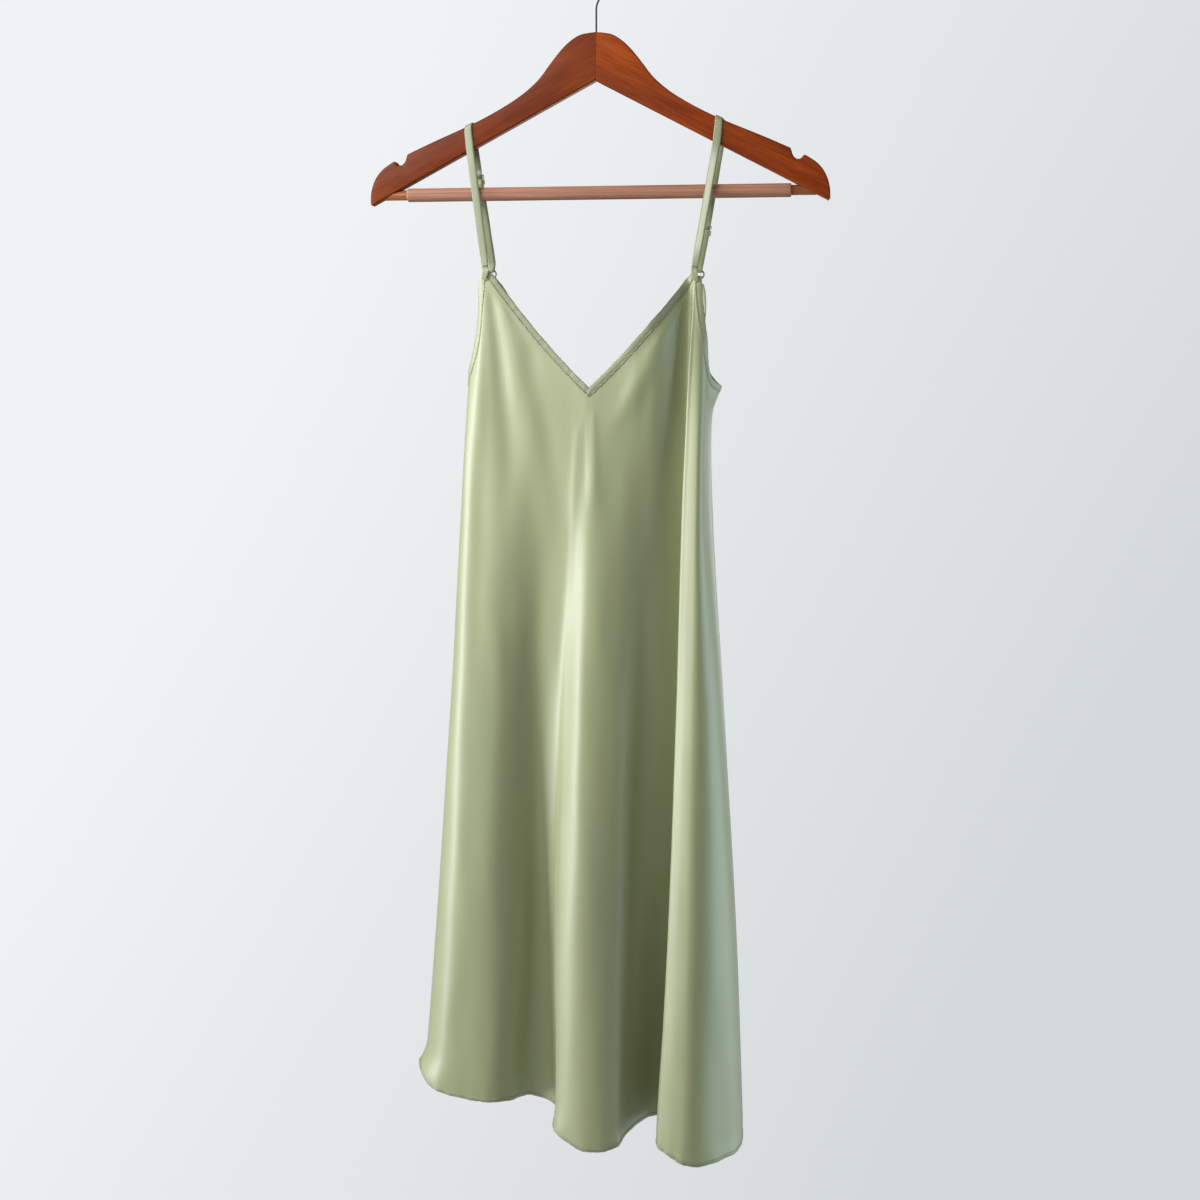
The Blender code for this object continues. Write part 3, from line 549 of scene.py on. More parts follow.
def resample(points, values, step, rounds):
    """Even points along a line, with corners eased, and values carried with them."""
    points, values = np.asarray(points, float), np.asarray(values, float)
    run = run_of(points)
    at = np.linspace(0.0, run[-1], max(3, round(run[-1] / step)) + 1)
    both = np.concatenate([points, values], axis=1)
    line = np.stack([np.interp(at, run, both[:, i]) for i in range(both.shape[1])], axis=1)
    for _ in range(rounds):
        line[1:-1] = 0.25 * line[:-2] + 0.5 * line[1:-1] + 0.25 * line[2:]
    return line[:, :3], line[:, 3:]


def strip_profile(width, thick, crown=0.0):
    """Section of a pressed strip: a little fuller along its folded edges, with a crown."""
    half, deep = 0.5 * width, 0.5 * thick
    top = [(-half, 0.0), (-half + 0.25, 0.75 * deep), (-half + 0.8, deep), (-half + 1.7, 0.86 * deep),
           (0.0, 0.8 * deep), (half - 1.7, 0.86 * deep), (half - 0.8, deep), (half - 0.25, 0.75 * deep)]
    return [(x, y + crown * (1 - (x / half) ** 2)) for x, y in top + [(-x, -y) for x, y in top]]


DASH_SHARES = np.array((0.0, 0.22, 0.78, 1.0))
DASH_LIFTS = np.array((-0.16, 0.06, 0.06, -0.16))  # heights over the cloth at these shares
DASH_LEAN = 0.09             # slope of a dash across its line


def stitch_mesh(name, lines, dash, pitch, radius):
    """Thread dashes that dip into the cloth at both ends, along lines of (points, normals)."""
    verts, faces = [], []
    for number, (points, normals) in enumerate(lines):
        run = run_of(points)
        for k, start in enumerate(np.arange(0.4 * pitch, run[-1] - dash, pitch)):
            at = start + dash * DASH_SHARES
            spot, out = (np.stack([np.interp(at, run, line[:, i]) for i in range(3)], axis=1)
                         for line in (points, normals))
            out = unit(out)
            side = unit(np.cross(unit(spot[-1:] - spot[:1]), out))
            lean = DASH_LEAN * (1 if (k + number) % 2 else -1)
            spot = spot + out * DASH_LIFTS[:, None] + side * (at - at.mean())[:, None] * lean
            first = len(verts)
            for i in range(4):
                for a, b in ((1, 0), (0, 1), (-1, 0), (0, -1)):
                    verts.append(spot[i] + (side[i] * a + out[i] * b) * radius)
            for i in range(3):
                for j in range(4):
                    a, b = first + 4 * i + j, first + 4 * i + (j + 1) % 4
                    faces.append([a, b, b + 4, a + 4])
            faces.append([first + 3, first + 2, first + 1, first])
            faces.append([first + 12, first + 13, first + 14, first + 15])
    return make_mesh(name, verts, faces)


# ---- Materials ---------------------------------------------------------------------
def set_inputs(shader, values):
    for socket, value in values.items():
        shader.inputs[socket].default_value = value


def new_material(name, color, roughness, metallic=0.0):
    """Principled material; returns it with its nodes and shader."""
    mat = bpy.data.materials.new(name)
    mat.use_nodes = True
    mat.diffuse_color = (*color, 1.0)
    shader = mat.node_tree.nodes["Principled BSDF"]
    set_inputs(shader, {"Base Color": (*color, 1.0), "Roughness": roughness, "Metallic": metallic})
    return mat, mat.node_tree, shader


def coordinates(tree, uv, scale, turn=0.0, axis=2):
    """Coordinates: the piece's own texture map or its place, turned, then scaled per axis."""
    source = tree.nodes.new("ShaderNodeTexCoord")
    mapping = tree.nodes.new("ShaderNodeMapping")
    mapping.vector_type = "TEXTURE"
    mapping.inputs["Scale"].default_value = [1.0 / factor for factor in scale]
    mapping.inputs["Rotation"].default_value[axis] = turn
    tree.links.new(source.outputs["UV" if uv else "Object"], mapping.inputs["Vector"])
    return mapping.outputs["Vector"]


def noise(tree, vector, scale, detail=3.0, rough=0.5):
    node = tree.nodes.new("ShaderNodeTexNoise")
    set_inputs(node, {"Scale": scale, "Detail": detail, "Roughness": rough})
    tree.links.new(vector, node.inputs["Vector"])
    return node.outputs["Fac"]


def ramp(tree, value, stops):
    """Colour ramp from (position, colour) stops."""
    node = tree.nodes.new("ShaderNodeValToRGB")
    band = node.color_ramp
    while len(band.elements) < len(stops):
        band.elements.new(0.5)
    for element, (position, color) in zip(band.elements, stops):
        element.position = position
        element.color = (*color, 1.0)
    tree.links.new(value, node.inputs["Fac"])
    return node.outputs["Color"]


def blend(tree, a, b, share, kind="MIX"):
    """Mix of two colours by a number or a grey."""
    node = tree.nodes.new("ShaderNodeMix")
    node.data_type = "RGBA"
    node.blend_type = kind
    for source, socket in ((a, node.inputs[6]), (b, node.inputs[7]), (share, node.inputs[0])):
        if isinstance(source, bpy.types.NodeSocket):
            tree.links.new(source, socket)
        else:
            socket.default_value = source
    return node.outputs[2]


def bump(tree, shader, height, distance, strength):
    """Bump of the shader's normal from a grey, with its height in metres."""
    node = tree.nodes.new("ShaderNodeBump")
    set_inputs(node, {"Strength": strength, "Distance": distance})
    tree.links.new(height, node.inputs["Height"])
    tree.links.new(node.outputs["Normal"], shader.inputs["Normal"])


def tint(color, factor):
    return tuple(min(1.0, channel * factor) for channel in color)


def grey(tone):
    return (tone, tone, tone)


SECTION_SPAN = 20.0          # length of the ramp round a trim's section, in mm


def satin_material(name, color, roughness, uv=True, weave=1.0, edges=()):
    """Sage satin: faint slubs and threads along the bias, with a soft sheen.

    Edges are (distance round a trim's section in mm, tone): painted shade and painted highlight along
    its pressed folds and seams.
    """
    mat, tree, shader = new_material(name, color, roughness)
    bias = coordinates(tree, uv, (1.0, 0.09, 1.0), math.radians(45))
    threads = noise(tree, bias, scale=1500.0, detail=2.0)
    cloudy = noise(tree, coordinates(tree, uv, (1.0, 0.35, 1.0)), scale=14.0, detail=3.0)
    tone = ramp(tree, cloudy, ((0.3, tint(color, 0.955)), (0.7, tint(color, 1.035))))
    fine = ramp(tree, threads, ((0.3, grey(0.93)), (0.7, grey(1.0))))
    cloth = blend(tree, tone, fine, 0.6, "MULTIPLY")
    # Painted shade and painted highlight round a trim's section, from its edges' tones.
    if edges:
        split = tree.nodes.new("ShaderNodeSeparateXYZ")
        section = coordinates(tree, True, (1.0, 1.0 / (SECTION_SPAN * MM), 1.0))
        tree.links.new(section, split.inputs["Vector"])
        stops = [(at / SECTION_SPAN, grey(shade)) for at, shade in edges]
        cloth = blend(tree, cloth, ramp(tree, split.outputs["Y"], stops), 1.0, "MULTIPLY")
    tree.links.new(cloth, shader.inputs["Base Color"])
    set_inputs(shader, {
        "Specular IOR Level": 1.0, "Sheen Weight": 0.75, "Sheen Roughness": 0.32,
        "Sheen Tint": (1.0, 1.0, 1.0, 1.0), "Coat Weight": 0.35, "Coat Roughness": 0.5})
    bump(tree, shader, threads, distance=0.00004 * weave, strength=0.5)
    return mat


def metal_material(name, color, roughness):
    """Lacquered strap hardware: a soft tint with fine moulding marks."""
    mat, tree, shader = new_material(name, color, roughness, metallic=0.15)
    marks = noise(tree, coordinates(tree, False, (1.0, 1.0, 1.0)), scale=900.0, detail=4.0)
    tone = ramp(tree, marks, ((0.3, tint(color, 0.9)), (0.7, color)))
    tree.links.new(tone, shader.inputs["Base Color"])
    set_inputs(shader, {"Coat Weight": 0.3})
    bump(tree, shader, marks, distance=0.00003, strength=0.6)
    return mat


def wood_material(name, tones, roughness, turn, coat):
    """Stained wood: long grain lines, slow bands of stain and a varnish coat."""
    dark, middle, light = tones
    mat, tree, shader = new_material(name, middle, roughness)
    along_grain = coordinates(tree, False, (0.06, 1.0, 1.0), turn, 1)
    grain = noise(tree, along_grain, scale=640.0, detail=5.0, rough=0.6)
    figure = noise(tree, coordinates(tree, False, (0.10, 1.0, 0.8), turn, 1), scale=90.0, detail=3.0)
    stain = noise(tree, coordinates(tree, False, (1.0, 1.0, 1.0), turn, 1), scale=11.0, detail=2.0)
    bands = ramp(tree, figure, ((0.32, dark), (0.5, middle), (0.7, light)))
    lines = ramp(tree, grain, ((0.35, (0.55, 0.5, 0.5)), (0.55, grey(1.0))))
    deep = blend(tree, bands, lines, 0.7, "MULTIPLY")
    clouds = ramp(tree, stain, ((0.35, (0.72, 0.68, 0.72)), (0.65, (1.08, 1.0, 0.95))))
    tree.links.new(blend(tree, deep, clouds, 0.5, "MULTIPLY"), shader.inputs["Base Color"])
    set_inputs(shader, {"Specular IOR Level": 0.12, "Coat Weight": coat, "Coat Roughness": 0.18})
    bump(tree, shader, grain, distance=0.00008, strength=0.4)
    return mat


def sleeve_material(name, upper, lower, roughness):
    """Moulded non-slip sleeve, with painted light and shade: lighter on top, darker underneath."""
    mat, tree, shader = new_material(name, upper, roughness)
    lines = noise(tree, coordinates(tree, False, (0.012, 1.0, 1.0)), scale=900.0, detail=3.0)
    wear = noise(tree, coordinates(tree, False, (0.25, 1.0, 1.0)), scale=40.0, detail=2.0)
    tone = ramp(tree, lines, ((0.35, lower), (0.6, upper)))
    rubbed = ramp(tree, wear, ((0.35, (0.86, 0.86, 0.88)), (0.65, (1.05, 1.03, 1.0))))
    handled = blend(tree, tone, rubbed, 0.8, "MULTIPLY")
    # Painted light and shade by height within the sleeve: darker towards its underside, lighter on top.
    within = tree.nodes.new("ShaderNodeTexCoord")
    parts = tree.nodes.new("ShaderNodeSeparateXYZ")
    tree.links.new(within.outputs["Generated"], parts.inputs[0])
    painted_light_and_shade = ramp(tree, parts.outputs["Z"], ((0.0, grey(0.7)), (0.55, grey(1.0)), (1.0, grey(1.1))))
    tree.links.new(blend(tree, handled, painted_light_and_shade, 1.0, "MULTIPLY"), shader.inputs["Base Color"])
    bump(tree, shader, lines, distance=0.00004, strength=0.5)
    return mat


def wire_material(name, color, roughness):
    """Plated hook wire with drawn marks along it."""
    mat, tree, shader = new_material(name, color, roughness, metallic=1.0)
    drawn = noise(tree, coordinates(tree, False, (1.0, 1.0, 0.05)), scale=1800.0, detail=3.0)
    tone = ramp(tree, drawn, ((0.3, tint(color, 0.75)), (0.7, color)))
    tree.links.new(tone, shader.inputs["Base Color"])
    bump(tree, shader, drawn, distance=0.00002, strength=0.5)
    return mat


def known(name, make, *values):
    """A material by name, made once."""
    return bpy.data.materials.get(name) or make(name, *values)


def satin():
    s = bpy.context.scene.slip_satin
    return known("sage_satin", satin_material, tuple(s.tone), s.roughness)


# Painted shade and painted highlight along a trim's pressed folds and stitched lines, by distance round
# its section (mm).
BAND_PAINTED_SHADING = (
    (0.9, 0.5), (1.3, 1.12), (2.0, 1.15), (2.3, 0.7), (2.7, 0.7), (3.0, 0.98), (5.4, 1.04), (6.3, 1.0),
    (6.9, 0.5), (9.0, 0.45), (9.6, 1.0), (13.4, 1.0), (13.8, 0.65), (14.4, 1.1), (15.6, 0.6))
STRAP_PAINTED_SHADING = (
    (0.2, 0.5), (0.9, 0.62), (1.3, 0.95), (4.2, 1.12), (7.0, 0.95), (7.5, 0.62), (9.0, 0.5),
    (9.8, 0.62), (10.2, 0.95), (12.6, 1.1), (15.6, 0.95), (16.2, 0.62))


def trim_satin(name, depth, spread, edges=()):
    """The dress's satin on a folded trim: darker by a depth, which is painted shade, rougher, in a
    coarser weave.
    """
    s = bpy.context.scene.slip_satin
    tone = tint(tuple(s.tone), depth)
    return known(name, satin_material, tone, s.roughness + spread, True, 1.5, edges)


def band_satin(label="neck"):
    # Painted shade: neck bands are a darker copy of the satin, armhole bands nearly its own tone with
    # softer painted edge lines.
    depth, soft = (0.76, 0.0) if label == "neck" else (0.96, 0.7)
    edges = [(at, shade + (1.0 - shade) * soft) for at, shade in BAND_PAINTED_SHADING]
    return trim_satin(f"sage_{label}_band", depth, 0.05, edges)


# Painted shade: the straps and the hem are darker copies of the satin.
def strap_satin():
    return trim_satin("sage_strap", 0.74, 0.03, STRAP_PAINTED_SHADING)


def hem_satin():
    return trim_satin("sage_hem", 0.74, 0.04)


def thread():
    # Dark thread: real stitching that also paints shade lines along the trims.
    tone = tuple(bpy.context.scene.slip_trim.thread_and_shade_tone)
    return known("sewing_thread", satin_material, tone, 0.6, False)


# ---- Settings ----------------------------------------------------------------------
def tone_property(name, about, color):
    return bpy.props.FloatVectorProperty(
        name=name, description=about, default=color, size=3, min=0.0, max=1.0, subtype="COLOR")


def length_property(name, about, value, low, high):
    return bpy.props.FloatProperty(
        name=name, description=about, default=value, min=low, max=high,
        unit="LENGTH", subtype="DISTANCE", precision=5)


def share_property(name, about, value, low=0.0, high=1.0):
    return bpy.props.FloatProperty(
        name=name, description=about, default=value, min=low, max=high, subtype="FACTOR")


def power_property(name, about, value):
    return bpy.props.FloatProperty(
        name=name, description=about, default=value, min=0.0, unit="POWER")


class SlipSatin(bpy.types.PropertyGroup):
    """The dress's cloth."""

    tone: tone_property("Satin tone", "Base colour of the sage satin", (0.312, 0.346, 0.176))
    roughness: share_property("Roughness", "How far the satin spreads its shine", 0.47)
    wall: length_property("Cloth thickness", "Thickness of one layer", 0.0008, 0.0003, 0.0012)
    creases: share_property("Crease depth", "1 keeps the creases' own heights", 1.0, 0.0, 1.3)
    step: length_property("Mesh step", "Width of the cloth's quads", 0.0032, 0.0025, 0.01)


class SlipTrim(bpy.types.PropertyGroup):
    """Bindings, straps, stitching and strap hardware."""

    band_thickness: length_property("Band thickness", "Folded binding", 0.0017, 0.001, 0.002)
    strap_thickness: length_property("Strap thickness", "Pressed strap", 0.001, 0.0006, 0.0012)
    # Partly painted shade: the thread is darker than the satin so that its rows also draw the shade
    # lines along the bands' and straps' edges.
    thread_and_shade_tone: tone_property("Thread tone", "Colour of the sewing thread", (0.085, 0.10, 0.052))
    dash: length_property("Stitch length", "Visible part of a stitch", 0.0019, 0.001, 0.003)
    pitch: length_property("Stitch pitch", "From one stitch to the next", 0.0027, 0.0018, 0.005)
    metal_tone: tone_property("Hardware tone", "Sliders and rings", (0.22, 0.245, 0.16))


class SlipHanger(bpy.types.PropertyGroup):
    """The wooden hanger."""

    wood_dark: tone_property("Wood, dark", "Dark bands of the stain", (0.125, 0.019, 0.002))
    wood_tone: tone_property("Wood, middle", "Middle tone of the stain", (0.172, 0.029, 0.003))
    wood_light: tone_property("Wood, light", "Light bands of the stain", (0.225, 0.043, 0.005))
    # Painted light: one stain, made lighter on the right arm to match how the light falls on the two
    # arms.
    right_arm_painted_light: share_property(
        "Right board", "How much lighter the right arm's board is", 1.6, 0.5, 2.0)
    bar_tone: tone_property("Bar tone", "Wood of the trouser bar", (0.35, 0.12, 0.042))
    sleeve_tone: tone_property("Sleeve tone", "Ribbed sleeve on the bar", (0.43, 0.20, 0.125))
    wire_tone: tone_property("Wire tone", "Hook and stem", (0.055, 0.052, 0.054))


class SlipStudio(bpy.types.PropertyGroup):
    """Floor, backdrop, lights and camera."""

    floor_tone: tone_property("Floor tone", "Pale floor", (0.78, 0.78, 0.77))
    # Painted light on the backdrop: the light tone at its upper left, the dark one at its lower right.
    backdrop_light: tone_property("Backdrop, light", "Upper left", (0.875, 0.89, 0.905))
    backdrop_dark: tone_property("Backdrop, dark", "Lower right", (0.66, 0.69, 0.70))
    ambient: share_property("Ambient", "Light from all round", 0.20, 0.0, 2.0)
    key: power_property("Key power", "Large soft light at the left", 64.0)
    fill: power_property("Fill power", "Cool soft light at the right", 35.0)
    top: power_property("Top power", "Soft light above the front", 12.5)
    back: power_property("Back power", "Weak soft light behind the dress", 14.0)
    lens: bpy.props.FloatProperty(
        name="Lens", description="Focal length on a 36 mm sensor", default=45.42, min=10.0,
        subtype="DISTANCE_CAMERA")


# ---- Cloth --------------------------------------------------------------------------
PANELS = (
    # name, CAD node, side of the dress, first and last fold line
    ("front_cloth", "front_panel", "front", "seam_left", "seam_right"),
    ("back_cloth", "back_panel", "back", "seam_right", "seam_left"),
)
PANEL_ROWS = 240
PANEL_LAP = 1.2              # how far a panel reaches up into its bands
SEAM_SHORT = 0.06            # how far each panel stops short of the side seams' line


class SLIPDRESS_OT_cut_panels(bpy.types.Operator):
    """Front and back of the dress, each one bias-cut piece hung from its edges"""

    bl_idname = "slipdress.cut_panels"
    bl_label = "Cut the panels"

    def execute(self, context):
        s = context.scene.slip_satin
        for name, node, side, first, last in PANELS:
            u = dress.round(first, last, s.step / MM)
            top, hem = dress.top(u) + PANEL_LAP, dress.hem(u)
            share = np.linspace(0.0, 1.0, PANEL_ROWS + 1)[:, None]
            share = 0.45 * share**1.6 + 0.55 * share  # closer rows along the upper edge
            z = top + (hem - top) * share
            points, _ = cloth_surface(u[None, :], z, side, s.creases)
            for edge, inner in ((0, 1), (-1, -2)):
                points[:, edge] += unit(points[:, inner] - points[:, edge]) * SEAM_SHORT
            across = np.linalg.norm(np.diff(points, axis=1, prepend=points[:, :1]), axis=2)
            round_middle = across.cumsum(axis=1)[PANEL_ROWS // 2]
            uvs = np.stack([round_middle[None, :] + 0 * z, z], axis=-1)
            mesh = make_mesh(name, points.reshape(-1, 3), grid_faces(*z.shape), uvs.reshape(-1, 2))
            cloth = add_object(mesh, satin(), [node])
            wall = cloth.modifiers.new("Wall", "SOLIDIFY")
            wall.thickness = s.wall
            wall.offset = 0.0
            wall.use_even_offset = True
        return {"FINISHED"}


BANDS = (
    # name, CAD node, first and last fold line; the two necklines come first
    ("neck_band_front", "neck_binding_front", "apex_left", "apex_right"),
    ("neck_band_back", "neck_binding_back", "back_right", "back_left"),
    ("armhole_band_right", "armhole_binding_right", "apex_right", "back_right"),
    ("armhole_band_left", "armhole_binding_left", "back_left", "apex_left"),
)
BAND_STEP = 1.7              # at most this far from one section of a band to the next


def repeated_section(section, run):
    """A face's section and its mirror image as one closed profile at each point of a run."""
    section = np.array(section)
    profile = np.concatenate([section, section[::-1] * (-1, 1)])
    return np.repeat(profile[None], len(run), axis=0)


def band_profiles(run, thick):
    """Sections of a folded binding along its run, with the fullness that sewing leaves."""
    half = 0.5 * thick
    profiles = repeated_section([(out * half, up) for out, up in BAND_SECTION], run)
    swell, tuck = ripple(run, BAND_SWELL, 1.0), ripple(run, BAND_TUCK)
    profiles[..., 0] = profiles[..., 0] * swell[:, None] + tuck[:, None] * 0.6
    upper = np.clip(profiles[..., 1] / BAND_WIDTH, 0, 1)
    profiles[..., 1] += upper * ripple(run, BAND_RISE)[:, None]
    from_end = np.minimum(run, run[-1] - run)
    profiles[..., 1] *= (0.8 + 0.2 * smooth_step(from_end / 6.0))[:, None]
    return profiles


def point_tab(strap):
    """Short tab of satin folded over the point where a strap starts."""
    x, z = strap["apex"]
    side = strap["side"]
    y = float(dress.point(dress.place(f"apex_{strap['name']}"), z)[1]) - POINT_LIFT
    path = [(x + side * 2.2, y + 1.0, z - 7.0), (x + side * 1.4, y, z - 4.0),
            (x + side * 0.5, y - 0.3, z), (x, y - 0.2, z + 2.6), (x, y + 0.7, z + 4.6)]
    middle, width = resample(path, [(3.0,), (4.6,), (5.8,), (6.2,), (6.0,)], 0.6, 2)
    out = steady((0.0, -1.0, 0.0), middle)
    across = unit(np.cross(out, unit(np.gradient(middle, axis=0))))
    profiles = np.array([strip_profile(w, 1.1) for w in width[:, 0]])
    return sweep_mesh(f"point_tab_{strap['name']}", middle, across, out, profiles)


class SLIPDRESS_OT_bind_edges(bpy.types.Operator):
    """Folded self-fabric bindings round the necklines and armholes"""

    bl_idname = "slipdress.bind_edges"
    bl_label = "Bind the edges"

    def execute(self, context):
        t = context.scene.slip_trim
        for name, node, first, last in BANDS:
            edge, up, out = edge_line(first, last, BAND_STEP)
            profiles = band_profiles(run_of(edge), t.band_thickness / MM)
            mesh = sweep_mesh(name, edge, out, up, profiles)
            add_object(mesh, band_satin(name.split("_")[0]), [node])
        for strap in STRAPS:
            mesh = point_tab(strap)
            add_object(mesh, satin())
        return {"FINISHED"}


# ---- Straps and hardware ---------------------------------------------------------------
def arm_top(x):
    """Height of the arms' upper edge at x."""
    xs, zs = zip(*SHOULDER)
    return float(np.interp(abs(x), xs, zs))


def arm_foot(x):
    """Height where a strap comes off the arms' straight underside at x."""
    return CROTCH - ARM_FALL * abs(x) + 1.0


STRAP_FACE = 0.5 * ARM_THICK + STRAP_LIFT     # a strap's middle on an arm's flat face
STRAP_STEP = 0.9
WEAVE = 0.5 * SLIDER_PLATE + SEAM_GAP + 0.55  # a strap's middle in front of and behind a slider
RAIL = 0.5 * (SLIDER_SIZE[1] - SLIDER_RIM)    # a slider's rails from its middle


def strap_front(strap):
    """Stations of a strap up its front: (middle, outward normal, width, lean)."""
    side, x = strap["side"], strap["arm"]
    apex_x, apex_z = strap["apex"]
    apex_u = dress.place(f"apex_{strap['name']}")
    apex_y = float(dress.point(apex_u, apex_z)[1]) - APEX_LIFT
    start = np.array((apex_x + side * 0.9, apex_y + 0.1, apex_z + 8.0))
    knee = np.array((x - side * 1.6, -STRAP_FACE, arm_foot(x)))
    turned = (strap["turned"], -1, 0)
    between = [(start + (knee - start) * k / 6, turned, STRAP_WIDTH, 0.0) for k in range(1, 6)]
    return [((apex_x, apex_y, apex_z - 1.0), FRONT, STRAP_WIDTH - SEWN_NARROW, 0.0),
            (start, FRONT, STRAP_WIDTH - 0.8, 0.0), *between, (knee, FRONT, STRAP_WIDTH, 0.0)]


def strap_over(strap):
    """Stations over the arm: up its front face, round its top and down its back face."""
    x, behind = strap["arm"], strap["behind"]
    slope = (arm_top(x + 4) - arm_top(x - 4)) / 8
    bend = ARM_ROUND + STRAP_LIFT
    out = [((x, -STRAP_FACE, arm_top(x) - 6.0), FRONT, STRAP_WIDTH, 0.5 * slope)]
    for k in range(10):          # five stations round each rim of the arm's top
        a = math.radians(22.5 * (k if k < 5 else 9 - k))
        sign = -1 if k < 5 else 1
        spot = x + (behind - x) * (0.08 * k + (0.28 if k > 4 else 0.0))
        y = sign * (0.5 * ARM_THICK - ARM_ROUND + bend * math.cos(a))
        z = arm_top(spot) - ARM_ROUND + bend * math.sin(a) + 0.25
        out.append(((spot, y, z), (0, sign * math.cos(a), math.sin(a)), STRAP_WIDTH, slope))
    out.append(((behind, STRAP_FACE, arm_top(behind) - 6.0), BACK, STRAP_WIDTH, 0.5 * slope))
    return out


def back_leg(strap):
    """Upper and lower end of a strap's back leg, its ways down and out, and its slider's place."""
    side, behind = strap["side"], strap["behind"]
    x, y, z = strap["ring"]
    knee = np.array((behind - side * 1.2, STRAP_FACE, arm_foot(behind)))
    foot = np.array((x, y + LOOP_HALF, z + RING_RADIUS - RING_SEAT + 5.0))
    down = unit(foot - knee)
    outward = unit(np.cross(down, (1.0, 0.0, 0.0)))
    return knee, foot, down, outward * np.sign(outward[1]), knee + (foot - knee) * strap["slider"]


def strap_back(strap):
    """Stations down the back: through the slider, round the ring and back to the slider."""
    knee, foot, down, outward, slider = back_leg(strap)
    x, y, z = strap["ring"]
    out = [(knee, BACK, STRAP_WIDTH, 0.0)]
    if strap["slider"] > 0.5:
        out.append((knee + (foot - knee) * 0.35, outward, STRAP_WIDTH, 0.0))
    for along, off in ((-RAIL - 4.5, 0.0), (-RAIL - 0.9, -WEAVE), (-RAIL + 0.9, -WEAVE),
                       (-0.8, WEAVE), (0.8, WEAVE), (RAIL - 0.9, -WEAVE), (RAIL + 0.9, -WEAVE),
                       (RAIL + 5.0, 0.0)):
        out.append((slider + down * along + outward * off, outward, STRAP_WIDTH, 0.0))
    if strap["slider"] < 0.5:
        out.append((slider + (foot - slider) * 0.55, outward, STRAP_WIDTH, 0.0))
    out.append((foot + (0.0, 0.0, 2.0), outward, STRAP_WIDTH - 0.6, 0.0))
    out.append((foot, outward, LOOP_WIDTH + 1.8, 0.0))
    for k in range(7):
        a = math.radians(30 * k)
        turn_z = z + RING_RADIUS - RING_SEAT - LOOP_HALF * math.sin(a)
        normal = (0, math.cos(a), -math.sin(a))
        out.append(((x, y + LOOP_HALF * math.cos(a), turn_z), normal, LOOP_WIDTH, 0.0))
    out.append((foot - (0.0, 2 * LOOP_HALF, 0.0), FRONT, LOOP_WIDTH + 1.8, 0.0))
    out.append((foot - (0.0, 2 * LOOP_HALF, -2.0), FRONT, STRAP_WIDTH - 0.6, 0.0))
    inward = -outward
    for along, off in ((RAIL + 6.0, 1.6), (RAIL - 0.9, 1.6), (0.9, 0.1), (-0.7, 0.1)):
        spot = slider + down * along + inward * (WEAVE + off)
        out.append((spot, inward, STRAP_WIDTH - 0.4, 0.0))
    return out


def strap_line(strap):
    """Even strap line: middles, directions across, normals and widths."""
    stations = strap_front(strap) + strap_over(strap) + strap_back(strap)
    points = [middle for middle, _, _, _ in stations]
    values = [(*normal, width, lean) for _, normal, width, lean in stations]
    middle, values = resample(points, values, STRAP_STEP, 2)
    normal, width, lean = unit(values[:, :3]), values[:, 3], values[:, 4]
    run = np.gradient(middle, axis=0)
    across = unit(np.cross(normal, run))
    across *= np.where(across[:, :1] < 0, -1.0, 1.0)
    across[:, 2] += lean
    across = unit(across)
    out = unit(np.cross(across, run))
    out *= np.where(np.sum(out * normal, axis=1, keepdims=True) < 0, -1.0, 1.0)
    return middle, across, out, width


def strap_ribbon(strap, thick):
    """Pressed strap, a little uneven in its width."""
    middle, across, out, width = strap_line(strap)
    run = STRAP_STEP * np.arange(len(middle))
    widths = [w * (1 + 0.012 * math.sin(0.21 * r)) for w, r in zip(width, run)]
    profiles = np.array([strip_profile(w, thick, STRAP_CROWN) for w in widths])
    return sweep_mesh(f"strap_ribbon_{strap['name']}", middle, across, out, profiles)


def ring_loop(strap):
    """Short loop of binding from the back's strap point through the ring."""
    u = dress.place(f"back_{strap['name']}")
    seat = dress.point(u, dress.top(u) + 1.0)
    reach = 2.6              # from the cloth's middle to a loop's end, in front and behind
    path = [(seat + (0, reach, -3.0), BACK, LOOP_WIDTH + 1.6),
            (seat + (0, reach - 0.5, 2.0), BACK, LOOP_WIDTH + 0.8)]
    for k in range(7):
        a = math.radians(30 * k)
        rise = RING_SEAT - RING_RADIUS + LOOP_HALF * math.sin(a)
        spot = np.array(strap["ring"]) + (0.0, LOOP_HALF * math.cos(a), rise)
        path.append((spot, (0, math.cos(a), math.sin(a)), LOOP_WIDTH))
    path += [(seat - (0, reach - 0.2, -2.0), FRONT, LOOP_WIDTH + 0.8),
             (seat - (0, reach + 0.3, 3.0), FRONT, LOOP_WIDTH + 1.6)]
    points = [point for point, _, _ in path]
    middle, values = resample(points, [(*normal, width) for _, normal, width in path], 0.6, 2)
    profiles = np.array([strip_profile(w, 1.0) for w in values[:, 3]])
    side = steady((1.0, 0.0, 0.0), middle)
    return sweep_mesh(f"ring_loop_{strap['name']}", middle, side, unit(values[:, :3]), profiles)


class SLIPDRESS_OT_thread_straps(bpy.types.Operator):
    """Pressed straps over the hanger, through their sliders and round their rings"""

    bl_idname = "slipdress.thread_straps"
    bl_label = "Thread the straps"

    def execute(self, context):
        thick = context.scene.slip_trim.strap_thickness / MM
        for strap in STRAPS:
            mesh = strap_ribbon(strap, thick)
            add_object(mesh, strap_satin(), [f"strap_{strap['name']}"])
            mesh = ring_loop(strap)
            add_object(mesh, band_satin(), [f"ring_tab_{strap['name']}"])
        return {"FINISHED"}


